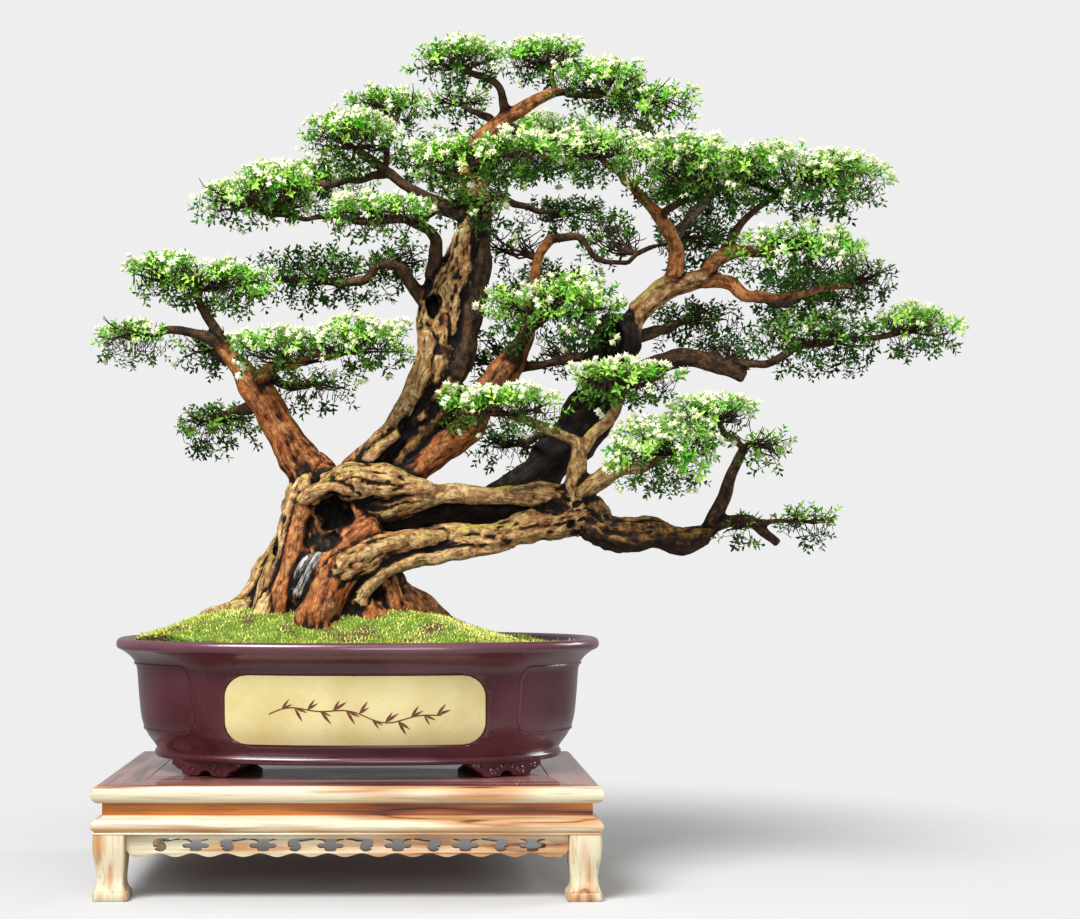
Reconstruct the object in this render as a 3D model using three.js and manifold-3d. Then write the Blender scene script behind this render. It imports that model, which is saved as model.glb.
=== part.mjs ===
// An old flowering tree trained in an oval stoneware pot, standing on a carved wooden stand.
// Millimetres, +Z up, the front towards -Y. The heights are measured from the floor under the stand.
// The trunk is hollow with age: strands of live wood run round the hollows and carry pads of small
// opposite leaves with heads of white stamens. Every pad is a spray of its own, pierced by its branch.
import * as THREE from 'three';
import { mergeVertices } from 'three/addons/utils/BufferGeometryUtils.js';
import Module from 'manifold-3d';

const wasm = await Module();
wasm.setup();

// Driving dimensions of the stand
const standLength = 750;
const standDepth = 510;
const standHeight = 169;
const boardThickness = 26;
const frameWidth = 70;
const tongueTop = 6;
const tongueUnder = 13;
const tongueReach = 8;
const waistHeight = 18;
const mouldingHeight = 27;
const waistRecess = 15;
const memberThickness = 40;
const legWidth = 48;
const legInset = 2;
const footTop = 14;
const kneeBottom = 78;
const apronThickness = 14;
const apronInset = 14;
const apronDrop = 34;
const apronShoulder = 22;
const apronMargin = 45;
const scrollSize = 10;
const scrollDepth = 16;
const standOffset = -10;

// Driving dimensions of the pot
const potLength = 766;
const potDepth = 500;
const potHeight = 208;
const footHeight = 22;
const footDepth = 30;
const footReachX = 218;
const footReachY = 110;
const wallThickness = 17;
const ovalSides = 24;
const ovalPower = 2.35;
const plaqueLength = 390;
const plaqueHeight = 105;
const plaqueCorner = 34;
const inlayDepth = 3;
const drainRadius = 15;
const drainSpacing = 340;

// Driving dimensions of the tree and of the clearances
const soilHollow = 8;
const soilRise = 52;
const soilRings = [29, 95, 160, 250];
const leafLength = 60;
const leafWidth = 32;
const leafThickness = 5;
const leafPitch = 16.5;
const leafSunk = 9;
const coreShare = 0.72;
const leafSweep = 0.9;
const blossomRadius = 13;
const moundCentre = -60;
const moundReach = 215;
const moundDepth = 150;
const fluteTwist = 2.5;
const clearance = 0.4;

const potBottom = standHeight + clearance;
const rimHeight = potBottom + potHeight;
const bodyBottom = potBottom + footHeight;
const floorTop = bodyBottom + wallThickness;

const quarters = [
  ['front_left', -1, -1],
  ['front_right', 1, -1],
  ['back_right', 1, 1],
  ['back_left', -1, 1],
];

const finish = {
  stand: { color: 0xd9a05b, roughness: 0.45 },
  pot: { color: 0x4a2328, roughness: 0.4 },
  plaque: { color: 0xe6d08a, roughness: 0.5 },
  soil: { color: 0x7f9a2e, roughness: 1 },
  bark: { color: 0x8a5a33, roughness: 0.85 },
  foliage: { color: 0x4f8f2c, roughness: 0.6 },
};

/** The same numbers in the same order on every run, between 0 and 1. */
function seeded(seed) {
  let state = seed >>> 0;
  return () => {
    state = (state + 0x6d2b79f5) >>> 0;
    let mixed = Math.imul(state ^ (state >>> 15), 1 | state);
    mixed = (mixed + Math.imul(mixed ^ (mixed >>> 7), 61 | mixed)) ^ mixed;
    return ((mixed ^ (mixed >>> 14)) >>> 0) / 4294967296;
  };
}

/** A three.js geometry as a closed solid, whichever way its faces were wound. */
function solidOf(geometry) {
  const bare = geometry.clone();
  bare.deleteAttribute('normal');
  bare.deleteAttribute('uv');
  const merged = mergeVertices(bare, 1e-3);
  const vertProperties = new Float32Array(merged.attributes.position.array);
  const triVerts = new Uint32Array(merged.index.array);
  const corners = [0, 1, 2].map(() => new THREE.Vector3());
  const cross = new THREE.Vector3();
  let volume = 0;
  const kept = [];
  for (let i = 0; i < triVerts.length; i += 3) {
    const [a, b, c] = triVerts.slice(i, i + 3);
    if (a === b || b === c || c === a) continue;
    [a, b, c].forEach((v, k) => corners[k].fromArray(vertProperties, 3 * v));
    volume += corners[0].dot(cross.crossVectors(corners[1], corners[2]));
    kept.push(a, b, c);
  }
  if (volume < 0) kept.reverse();
  return new wasm.Manifold(
    new wasm.Mesh({ numProp: 3, vertProperties, triVerts: new Uint32Array(kept) }),
  );
}

/** The largest body of a solid, so that no loose scrap of a cut is kept. */
function largest(solid) {
  return solid.decompose().sort((a, b) => b.volume() - a.volume())[0];
}

function unite(solids) {
  return wasm.Manifold.union(solids);
}

/** A solid as a named three.js mesh. */
function piece(name, solid, look) {
  const { vertProperties, triVerts } = largest(solid.simplify(0.05)).getMesh();
  const geometry = new THREE.BufferGeometry();
  geometry.setAttribute('position', new THREE.BufferAttribute(vertProperties, 3));
  geometry.setIndex(new THREE.BufferAttribute(triVerts, 1));
  geometry.computeVertexNormals();
  const material = new THREE.MeshStandardMaterial({ ...finish[look], metalness: 0 });
  const mesh = new THREE.Mesh(geometry, material);
  mesh.name = name;
  return mesh;
}

function bend(geometry, place) {
  const position = geometry.attributes.position;
  const point = new THREE.Vector3();
  for (let i = 0; i < position.count; i++) {
    place(point.fromBufferAttribute(position, i));
    position.setXYZ(i, point.x, point.y, point.z);
  }
  return geometry;
}

function outline(points) {
  return new THREE.Shape(points.map(([x, y]) => new THREE.Vector2(x, y)));
}

// The stand: a mitred frame with a floating panel, a recessed waist with the moulding below it,
// pierced aprons and four cabriole legs. Each side is made facing front and turned into its place.

/** One mitred member: a profile of [inset, height] points run along a side between 45 degree ends. */
function mitredMember(profile, halfLength) {
  const run = new THREE.ExtrudeGeometry(outline(profile), { depth: 1, bevelEnabled: false });
  return bend(run, (p) => {
    const [inset, height, along] = [p.x, p.y, 2 * p.z - 1];
    p.set(along * (halfLength - inset - clearance / 2), inset, height);
  });
}

function standFrame(halfLength) {
  const top = standHeight;
  const under = standHeight - boardThickness;
  const bullnose = [[9, under], [3, under + 5], [0, under + 11], [0, under + 17], [5, top - 3], [12, top]];
  const groove = [
    [frameWidth, top], [frameWidth, top - tongueTop],
    [frameWidth - tongueReach, top - tongueTop], [frameWidth - tongueReach, top - tongueUnder],
    [frameWidth, top - tongueUnder], [frameWidth, under],
  ];
  return mitredMember([...bullnose, ...groove], halfLength);
}

/** The floating panel of the top, with a tongue all round that lies in the frame's groove. */
function standPanel() {
  const length = standLength - 2 * (frameWidth + clearance);
  const depth = standDepth - 2 * (frameWidth + clearance);
  const board = new THREE.BoxGeometry(length, depth, tongueUnder + 3);
  board.translate(0, 0, standHeight - (tongueUnder + 3) / 2);
  const thickness = tongueUnder - tongueTop - 2 * clearance;
  const tongue = new THREE.BoxGeometry(length + 2 * tongueReach, depth + 2 * tongueReach, thickness);
  tongue.translate(0, 0, standHeight - (tongueTop + tongueUnder) / 2);
  return unite([solidOf(board), solidOf(tongue)]);
}

function standWaist(halfLength) {
  const top = standHeight - boardThickness - clearance;
  const shoulder = top - waistHeight;
  const under = shoulder - mouldingHeight;
  const outer = [
    [waistRecess, top], [waistRecess, shoulder], [6, shoulder - 5], [0, shoulder - 13],
    [0, shoulder - 19], [5, shoulder - 22], [4, under],
  ];
  return mitredMember([...outer, [memberThickness, under], [memberThickness, top]], halfLength);
}

/** A pierced cloud scroll: a curl with a tail, as the carver cuts it through the apron. */
function scrollHole(x, z, size, facing) {
  const curl = [[-1, 0.1], [-0.6, 0.85], [1.5, 0.8], [0.35, 0.3], [0.2, -0.55], [-0.6, -0.65]];
  const points = curl.map(([u, v]) => new THREE.Vector2(x + facing * u * size, z + v * size));
  return new THREE.Path(points);
}

function apron(length, scrolls) {
  const half = length / 2;
  const top = standHeight - boardThickness - waistHeight - mouldingHeight - 2 * clearance;
  const low = top - apronDrop;
  const lobes = 2 * scrolls;
  const lobeReach = half - (2 * apronMargin) / 3;
  const edge = [];
  for (let i = 0; i <= lobes; i++) edge.push([lobeReach * ((2 * i) / lobes - 1), low + (i % 2 ? 0 : 5)]);
  const end = (side) => [
    [side * half, top], [side * half, top - apronShoulder], [side * (half - 8), low + 8],
  ];
  const shape = outline([...end(-1), ...edge, ...end(1).reverse()]);
  const pitch = (length - 2 * apronMargin) / scrolls;
  for (let i = 0; i < scrolls; i++) {
    const x = (i - (scrolls - 1) / 2) * pitch;
    shape.holes.push(scrollHole(x, top - scrollDepth, scrollSize, x < -1 ? -1 : 1));
  }
  const board = new THREE.ExtrudeGeometry(shape, { depth: apronThickness, bevelEnabled: false });
  return bend(board, (p) => p.set(p.x, p.z, p.y));
}

/** A cabriole leg: a square post whose outer faces swell at the knee and flare at the foot. */
function leg() {
  const top = standHeight - boardThickness - waistHeight - mouldingHeight - 2 * clearance;
  // Each [height, setback of the outer faces, width]
  const sections = [
    [0, 0, legWidth + 4], [footTop, 0, legWidth + 4], [footTop + 3, 5, legWidth - 5],
    [footTop + 22, 6, legWidth - 8], [kneeBottom - 18, 2, legWidth - 2], [kneeBottom, 0, legWidth],
    [top, 1, legWidth - 1],
  ];
  const post = new THREE.BoxGeometry(1, 1, 1, 1, 1, sections.length - 1);
  return bend(post, (p) => {
    const [height, setback, width] = sections[Math.round((p.z + 0.5) * (sections.length - 1))];
    p.set(setback + (p.x + 0.5) * width, setback + (p.y + 0.5) * width, height);
  });
}

function makeStand() {
  const stand = new THREE.Group();
  const sides = [
    ['front', 0, standLength / 2, standDepth / 2, 7],
    ['right', 1, standDepth / 2, standLength / 2, 4],
    ['back', 2, standLength / 2, standDepth / 2, 7],
    ['left', 3, standDepth / 2, standLength / 2, 4],
  ];
  for (const [side, turn, half, reach, scrolls] of sides) {
    const apronLength = 2 * (half - legInset - legWidth - clearance);
    const members = [
      piece(`stand_frame_${side}`, solidOf(standFrame(half)), 'stand'),
      piece(`stand_waist_${side}`, solidOf(standWaist(half)), 'stand'),
      piece(`stand_apron_${side}`, solidOf(apron(apronLength, scrolls)), 'stand'),
    ];
    members[2].position.y = apronInset;
    const group = new THREE.Group();
    group.add(...members);
    for (const member of members) member.position.y -= reach;
    group.rotation.z = (turn * Math.PI) / 2;
    stand.add(group);
  }
  for (const [quarter, sx, sy] of quarters) {
    const [farX, farY] = [standLength / 2 - legInset, standDepth / 2 - legInset];
    const placed = bend(leg(), (p) => p.set(sx * (farX - p.x), sy * (farY - p.y), p.z));
    stand.add(piece(`stand_leg_${quarter}`, solidOf(placed), 'stand'));
  }
  stand.add(piece('stand_panel', standPanel(), 'stand'));
  stand.position.x = standOffset;
  return stand;
}

// The pot: an oval bowl with a rolled lip, a shoulder, a belly and a foot moulding, on four cloud feet.
// One fired piece, with a cream clay slab let into its front.

/** A lathe profile of [inset from the rim, height] points, drawn out to the pot's rounded oval plan. */
function ovalGeometry(profile, outset = 0) {
  const reach = (inset) => (inset === null ? 0 : potLength / 2 - inset);
  const points = profile.map(([inset, z]) => new THREE.Vector2(reach(inset), z));
  const lathe = new THREE.LatheGeometry(points, ovalSides);
  const power = 2 / ovalPower;
  return bend(lathe, (p) => {
    const radius = Math.hypot(p.x, p.z);
    const height = p.y;
    if (radius < 1) {
      p.set(0, 0, height);
      return;
    }
    const angle = Math.atan2(p.z, p.x);
    const inset = potLength / 2 - radius - outset;
    const [c, s] = [Math.cos(angle), Math.sin(angle)];
    p.set(
      (potLength / 2 - inset) * Math.sign(c) * Math.abs(c) ** power,
      (potDepth / 2 - inset) * Math.sign(s) * Math.abs(s) ** power,
      height,
    );
  });
}

function ovalSolid(profile, outset) {
  return solidOf(ovalGeometry(profile, outset));
}

const potOuter = [
  [null, bodyBottom], [66, bodyBottom], [60, bodyBottom + 6], [63, bodyBottom + 13],
  [50, bodyBottom + 32], [39, bodyBottom + 60], [33, bodyBottom + 134], [24, bodyBottom + 153],
  [12, rimHeight - 19], [2, rimHeight - 14], [0, rimHeight - 6], [4, rimHeight], [null, rimHeight],
];

function plaquePrism(grow) {
  const [w, h, r] = [plaqueLength / 2 + grow, plaqueHeight / 2 + grow, plaqueCorner + grow];
  const middle = bodyBottom + 84;
  const shape = new THREE.Shape();
  shape.moveTo(-w + r, -h);
  shape.lineTo(w - r, -h);
  shape.absarc(w - r, -h + r, r, -Math.PI / 2, 0);
  shape.absarc(w - r, h - r, r, 0, Math.PI / 2);
  shape.absarc(-w + r, h - r, r, Math.PI / 2, Math.PI);
  shape.absarc(-w + r, -h + r, r, Math.PI, 1.5 * Math.PI);
  const settings = { depth: potDepth / 2, bevelEnabled: false, curveSegments: 3 };
  const prism = new THREE.ExtrudeGeometry(shape, settings);
  return solidOf(bend(prism, (p) => p.set(p.x, -p.z - potDepth / 6, p.y + middle)));
}

/** A cloud foot: a scrolled bracket under the foot moulding, at one quarter of the oval. */
function cloudFoot(sx, sy) {
  const top = bodyBottom + 4;
  const half = [[6, potBottom + 7], [12, potBottom], [36, potBottom], [46, bodyBottom - 12],
    [60, bodyBottom - 5], [58, top]];
  const mirrored = half.map(([along, up]) => [-along, up]).reverse();
  const shape = outline([...mirrored, ...half]);
  const foot = new THREE.ExtrudeGeometry(shape, { depth: footDepth, bevelEnabled: false });
  const outward = new THREE.Vector2(0.4 * sx, 0.92 * sy).normalize();
  return solidOf(bend(foot, (p) => {
    const [along, up, out] = [p.x, p.y, p.z];
    p.set(outward.x * out - outward.y * along, outward.y * out + outward.x * along, up);
    p.x += sx * footReachX;
    p.y += sy * footReachY;
  }));
}

function drainHole(x) {
  const drill = new THREE.CylinderGeometry(drainRadius, drainRadius, 4 * wallThickness, 10);
  drill.rotateX(Math.PI / 2);
  drill.translate(x, 0, bodyBottom);
  return solidOf(drill);
}

const cavityProfile = [
  [null, floorTop], [66 + wallThickness, floorTop], [35 + wallThickness, floorTop + 60],
  [32, rimHeight - 22], [26, rimHeight + 1], [null, rimHeight + 1],
];

function makePot() {
  const cavity = ovalSolid(cavityProfile);
  const feet = quarters.map(([, sx, sy]) => cloudFoot(sx, sy));
  const body = unite([ovalSolid(potOuter), ...feet]).subtract(cavity);
  const pocket = plaquePrism(clearance).subtract(ovalSolid(potOuter, -inlayDepth - clearance));
  const holes = [drainHole(-drainSpacing / 2), drainHole(drainSpacing / 2)];
  const plaque = plaquePrism(0).intersect(ovalSolid(potOuter, 1)).subtract(ovalSolid(potOuter, -inlayDepth));
  return [
    piece('pot', body.subtract(unite([pocket, ...holes])), 'pot'),
    piece('pot_plaque', plaque, 'plaque'),
  ];
}

// The tree. A limb is a list of [x, y, z, radius] stations.

/** A limb: a cylinder bent along a smooth curve through its stations, swelling and tapering between them. */
function limb(stations, shape) {
  const { sides = 5, steps = stations.length - 1, flutes = 0, fluteDepth = 0, grow = 0 } = shape;
  const centre = new THREE.CatmullRomCurve3(stations.map(([x, y, z]) => new THREE.Vector3(x, y, z)));
  const shaft = new THREE.CylinderGeometry(1, 1, 1, sides, steps);
  const frames = [];
  let normal = new THREE.Vector3(0.3, -1, 0.2);
  for (let i = 0; i <= steps; i++) {
    const t = i / steps;
    const tangent = centre.getTangent(t);
    normal = normal.clone().addScaledVector(tangent, -normal.dot(tangent)).normalize();
    const station = Math.min(Math.floor(t * (stations.length - 1)), stations.length - 2);
    const share = t * (stations.length - 1) - station;
    const radius = THREE.MathUtils.lerp(stations[station][3], stations[station + 1][3], share) + grow;
    const beyond = i === 0 ? -grow : (i === steps ? grow : 0);
    const point = centre.getPoint(t).addScaledVector(tangent, beyond);
    frames.push([point, normal, normal.clone().cross(tangent), radius]);
  }
  return solidOf(bend(shaft, (p) => {
    const [point, across, beside, radius] = frames[Math.round((0.5 + p.y) * steps)];
    const angle = Math.atan2(p.z, p.x);
    const reach = radius * (1 + fluteDepth * Math.cos(flutes * angle + fluteTwist * p.y));
    const [u, v] = [p.x * reach, p.z * reach];
    p.copy(point).addScaledVector(across, u).addScaledVector(beside, v);
  }));
}

// The live wood and the old limbs, from the base upwards
const trunk = {
  base: { at: [[-30, 0, 320, 128], [-35, 0, 405, 122], [-40, 0, 460, 102], [-35, 5, 525, 88],
    [-30, 10, 590, 80], [-20, 12, 645, 55]],
    sides: 11, steps: 5, flutes: 5, fluteDepth: 0.12 },
  leftLimb: { at: [[-45, 0, 590, 51], [-80, -5, 645, 37], [-105, -8, 680, 30], [-125, -10, 715, 26],
    [-155, -10, 760, 24], [-175, -10, 790, 22], [-200, -10, 820, 14], [-220, -10, 845, 11]],
    sides: 7, steps: 6 },
  mainTrunk: { at: [[35, 18, 645, 42], [80, 14, 710, 34], [120, 12, 780, 31], [135, 10, 845, 40],
    [145, 10, 910, 45], [165, 12, 965, 40], [180, 15, 1015, 31], [185, 18, 1060, 27],
    [185, 20, 1110, 21], [190, 20, 1160, 18], [230, 20, 1205, 13], [265, 20, 1225, 11.5],
    [305, 20, 1250, 8], [350, 20, 1255, 5.5]],
    sides: 8, steps: 11, flutes: 3, fluteDepth: 0.1 },
  frontStrand: { at: [[-10, -15, 620, 38], [40, -18, 690, 22], [75, -18, 740, 17],
    [100, -14, 795, 19], [115, -8, 860, 22]],
    sides: 6, steps: 4 },
  rightStrand: { at: [[40, 0, 595, 38], [90, -10, 645, 27], [135, -10, 680, 26], [175, -4, 710, 24],
    [200, 10, 755, 26], [230, 20, 800, 26], [255, 25, 830, 19], [275, 30, 880, 13],
    [285, 30, 935, 9.5], [290, 30, 990, 8], [315, 30, 1025, 8]],
    sides: 6, steps: 8 },
  strandBridge: { at: [[65, 38, 660, 29], [120, 38, 725, 29], [170, 36, 785, 24]], sides: 6, steps: 2 },
  backLimb: { at: [[120, 50, 575, 33], [205, 50, 588, 31], [262, 48, 614, 32], [305, 45, 652, 35],
    [346, 42, 697, 40], [383, 36, 757, 41], [404, 32, 805, 40], [415, 30, 850, 39], [415, 28, 895, 31]],
    sides: 8, steps: 6 },
  backLimbTop: { at: [[425, 28, 840, 19], [445, 24, 890, 19], [475, 20, 925, 18], [515, 20, 945, 19],
    [555, 20, 955, 16]], sides: 7, steps: 4 },
  upperRidge: { at: [[-10, -20, 585, 41], [70, -34, 595, 30], [135, -40, 600, 24],
    [205, -45, 610, 22], [275, -50, 610, 22], [325, -50, 600, 28]],
    sides: 6, steps: 4 },
  lowerRidge: { at: [[-45, -78, 345, 47], [-50, -76, 415, 39], [-35, -70, 470, 34],
    [15, -62, 510, 33], [80, -55, 525, 31], [150, -50, 540, 28], [225, -50, 545, 25],
    [300, -50, 560, 27], [340, -50, 575, 35]],
    sides: 7, steps: 7 },
  hollowBack: { at: [[5, 15, 565, 55], [120, 18, 570, 39], [230, 5, 580, 32],
    [330, -18, 585, 29]], sides: 7, steps: 3 },
  lowLimb: { at: [[320, -50, 580, 31], [360, -50, 570, 31], [390, -50, 545, 30], [430, -50, 540, 28],
    [470, -50, 540, 25], [510, -50, 530, 22], [550, -50, 540, 17]],
    sides: 7, steps: 5 },
};

// The branches, each from where it leaves the wood to where it ends inside the spray it carries
const branches = {
  lowLimbRise: [[550, -50, 540, 14], [610, -50, 675, 7], [625, -48, 680, 5.5]],
  lowLimbEnd: [[540, -50, 540, 13], [580, -55, 560, 10], [620, -60, 555, 9.5], [660, -60, 525, 8]],
  toLowest: [[615, -60, 555, 6.5], [700, -68, 560, 4]],
  toFrontRight: [[330, -58, 590, 20], [400, -84, 640, 15], [435, -98, 645, 11.5], [470, -140, 660, 6]],
  toFrontLeft: [[340, -58, 595, 24], [345, -70, 670, 12], [320, -78, 695, 9.5], [230, -150, 720, 6]],
  toFrontMiddle: [[345, -68, 665, 11], [390, -72, 720, 11], [415, -120, 765, 6]],
  toFrontHigh: [[610, -50, 675, 6.5], [545, -140, 710, 5.5]],
  toFrontUnder: [[300, -80, 700, 6], [260, 90, 690, 6]],
  toHeartRight: [[510, 20, 945, 16], [505, 8, 1020, 13], [450, -24, 1075, 8.5], [375, -120, 1115, 5.5]],
  toEastHigh: [[485, -4, 1050, 8], [525, -45, 1090, 5.5]],
  toEastMiddle: [[555, 20, 955, 14], [575, 12, 980, 14], [610, 0, 995, 10.5], [700, -50, 990, 5.5]],
  toEastCrown: [[580, 12, 980, 9.5], [615, 10, 1040, 7], [690, -45, 1100, 4.5]],
  toEastShade: [[555, 20, 950, 14], [595, 10, 945, 13], [640, 0, 920, 9.5], [810, 90, 955, 6]],
  lowRightLimb: [[380, 48, 770, 24], [460, 56, 810, 17], [525, 50, 830, 16], [575, 42, 820, 15],
    [625, 30, 795, 11.5]],
  toEastWide: [[580, 42, 820, 9.5], [650, 24, 815, 7.5], [710, 4, 840, 6.5], [870, 8, 865, 5]],
  crossTwig: [[260, 34, 810, 8], [350, 34, 825, 8], [395, 36, 810, 9.5]],
  toEastDark: [[315, 30, 1020, 8], [355, 30, 1020, 6.5], [390, 32, 990, 5.5], [430, 34, 985, 5],
    [480, 70, 1010, 5], [530, 90, 1030, 4]],
  toWestLow: [[110, 5, 910, 14], [65, 16, 970, 9.5], [35, 34, 975, 8], [-10, 62, 955, 8],
    [-135, 110, 970, 5]],
  toWestFront: [[120, 4, 950, 16], [125, -10, 995, 13], [115, -42, 1015, 9.5], [70, -92, 1030, 6]],
  toWestCrown: [[175, 10, 1050, 16], [80, 4, 1095, 9], [-5, 0, 1160, 6.5]],
  toWestTip: [[135, 12, 1070, 8], [70, 44, 1050, 7.5], [-115, 24, 1055, 5.5], [-180, 20, 1070, 5]],
  toWestUpper: [[40, 2, 1125, 6.5], [65, 100, 1245, 5]],
  toApexLeft: [[240, 20, 1215, 9.5], [230, 8, 1245, 7], [205, -6, 1270, 6.5], [155, -20, 1280, 5]],
  toApex: [[320, 20, 1250, 6.5], [305, 60, 1315, 5]],
  toApexRight: [[335, 20, 1250, 6.5], [410, 0, 1245, 5]],
  toApexBack: [[225, 20, 1200, 8], [170, 120, 1260, 5]],
  toHeartLeft: [[190, 18, 1140, 14], [205, -130, 1115, 6]],
  toKnotFront: [[185, 14, 1070, 13], [175, -60, 1055, 6.5]],
  toInnerBack: [[185, 24, 1105, 11.5], [250, 90, 1090, 7.5], [340, 140, 1080, 5]],
  toCentreFront: [[245, 22, 815, 15], [265, -30, 855, 9.5], [295, -105, 880, 7]],
  toEastLow: [[430, 34, 855, 13], [555, 125, 900, 6]],
  toLeftTip: [[-215, -10, 840, 11], [-280, -28, 865, 8], [-325, -38, 855, 5.5]],
  toLeftTop: [[-205, -10, 830, 9.5], [-245, -18, 905, 7], [-250, -20, 935, 5]],
  toLeftInner: [[-190, -6, 815, 11], [-245, 56, 840, 5]],
  toLeftRight: [[-160, -14, 775, 16], [-145, -26, 800, 11], [-90, -72, 810, 7], [-25, -90, 820, 5.5]],
  toLeftUnder: [[-150, -14, 795, 9.5], [-115, 30, 785, 7.5], [-75, 58, 785, 5]],
  toLeftLow: [[-155, 0, 750, 13], [-235, 86, 730, 6]],
  toCrownBackLeft: [[185, 30, 1100, 15], [150, 208, 1165, 7]],
  toCrownBackRight: [[225, 28, 1200, 11.5], [335, 205, 1215, 6]],
  toEastBack: [[505, 16, 1015, 11.5], [600, 205, 1130, 7]],
  toEastFarBack: [[640, 4, 920, 9.5], [700, 100, 925, 7.5], [755, 185, 950, 6]],
  toWestBack: [[45, 6, 1120, 8], [-90, 182, 1135, 6]],
  toCentreBack: [[275, 34, 880, 13], [315, 212, 960, 7]],
};

// Surface roots, running out from the base of the trunk and down into the soil
const roots = [
  [[-105, -30, 460, 41], [-165, -42, 430, 19], [-230, -50, 415, 11], [-280, -52, 370, 8]],
  [[-115, -10, 500, 38], [-170, 18, 440, 23], [-250, 60, 360, 11.5]],
  [[-110, -60, 450, 31], [-145, -80, 420, 17], [-160, -92, 355, 12]],
  [[-90, 40, 435, 39], [-155, 96, 415, 21], [-215, 130, 340, 13]],
  [[-30, 50, 435, 46], [-35, 100, 415, 26], [-50, 140, 340, 15]],
  [[25, 0, 475, 48], [60, 22, 440, 35], [130, 50, 415, 13], [170, 56, 360, 11.5]],
  [[30, -30, 470, 44], [45, -50, 435, 38], [65, -72, 350, 25]],
  [[-15, -50, 455, 35], [-5, -82, 420, 23], [0, -90, 350, 19]],
  [[45, 40, 445, 36], [80, 80, 415, 20], [110, 104, 360, 15]],
];

// Hollows: rotted knots and old cuts, each an ellipsoid of [x, y, z, half width, half depth, half height]
const hollows = [
  [-35, -82, 575, 36, 50, 22], [-45, -98, 500, 14, 36, 40], [120, -26, 905, 11, 34, 21],
  [405, -12, 855, 20, 42, 33], [85, -62, 560, 47, 30, 14], [-85, -92, 530, 11, 26, 25],
  [80, -34, 710, 19, 26, 22],
];

function limbSolids(grow) {
  return [
    ...Object.values(trunk).map(({ at, ...shape }) => limb(at, { ...shape, grow })),
    ...Object.values(branches).map((at) => limb(at, { sides: at[0][3] < 10.5 ? 4 : 5, grow })),
    ...roots.map((at) => limb(at, { sides: 5, grow })),
  ];
}

function hollow([x, y, z, width, depth, height]) {
  const knot = new THREE.SphereGeometry(1, 8, 5);
  knot.scale(width, depth, height);
  knot.translate(x, y, z);
  return solidOf(knot);
}

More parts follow.
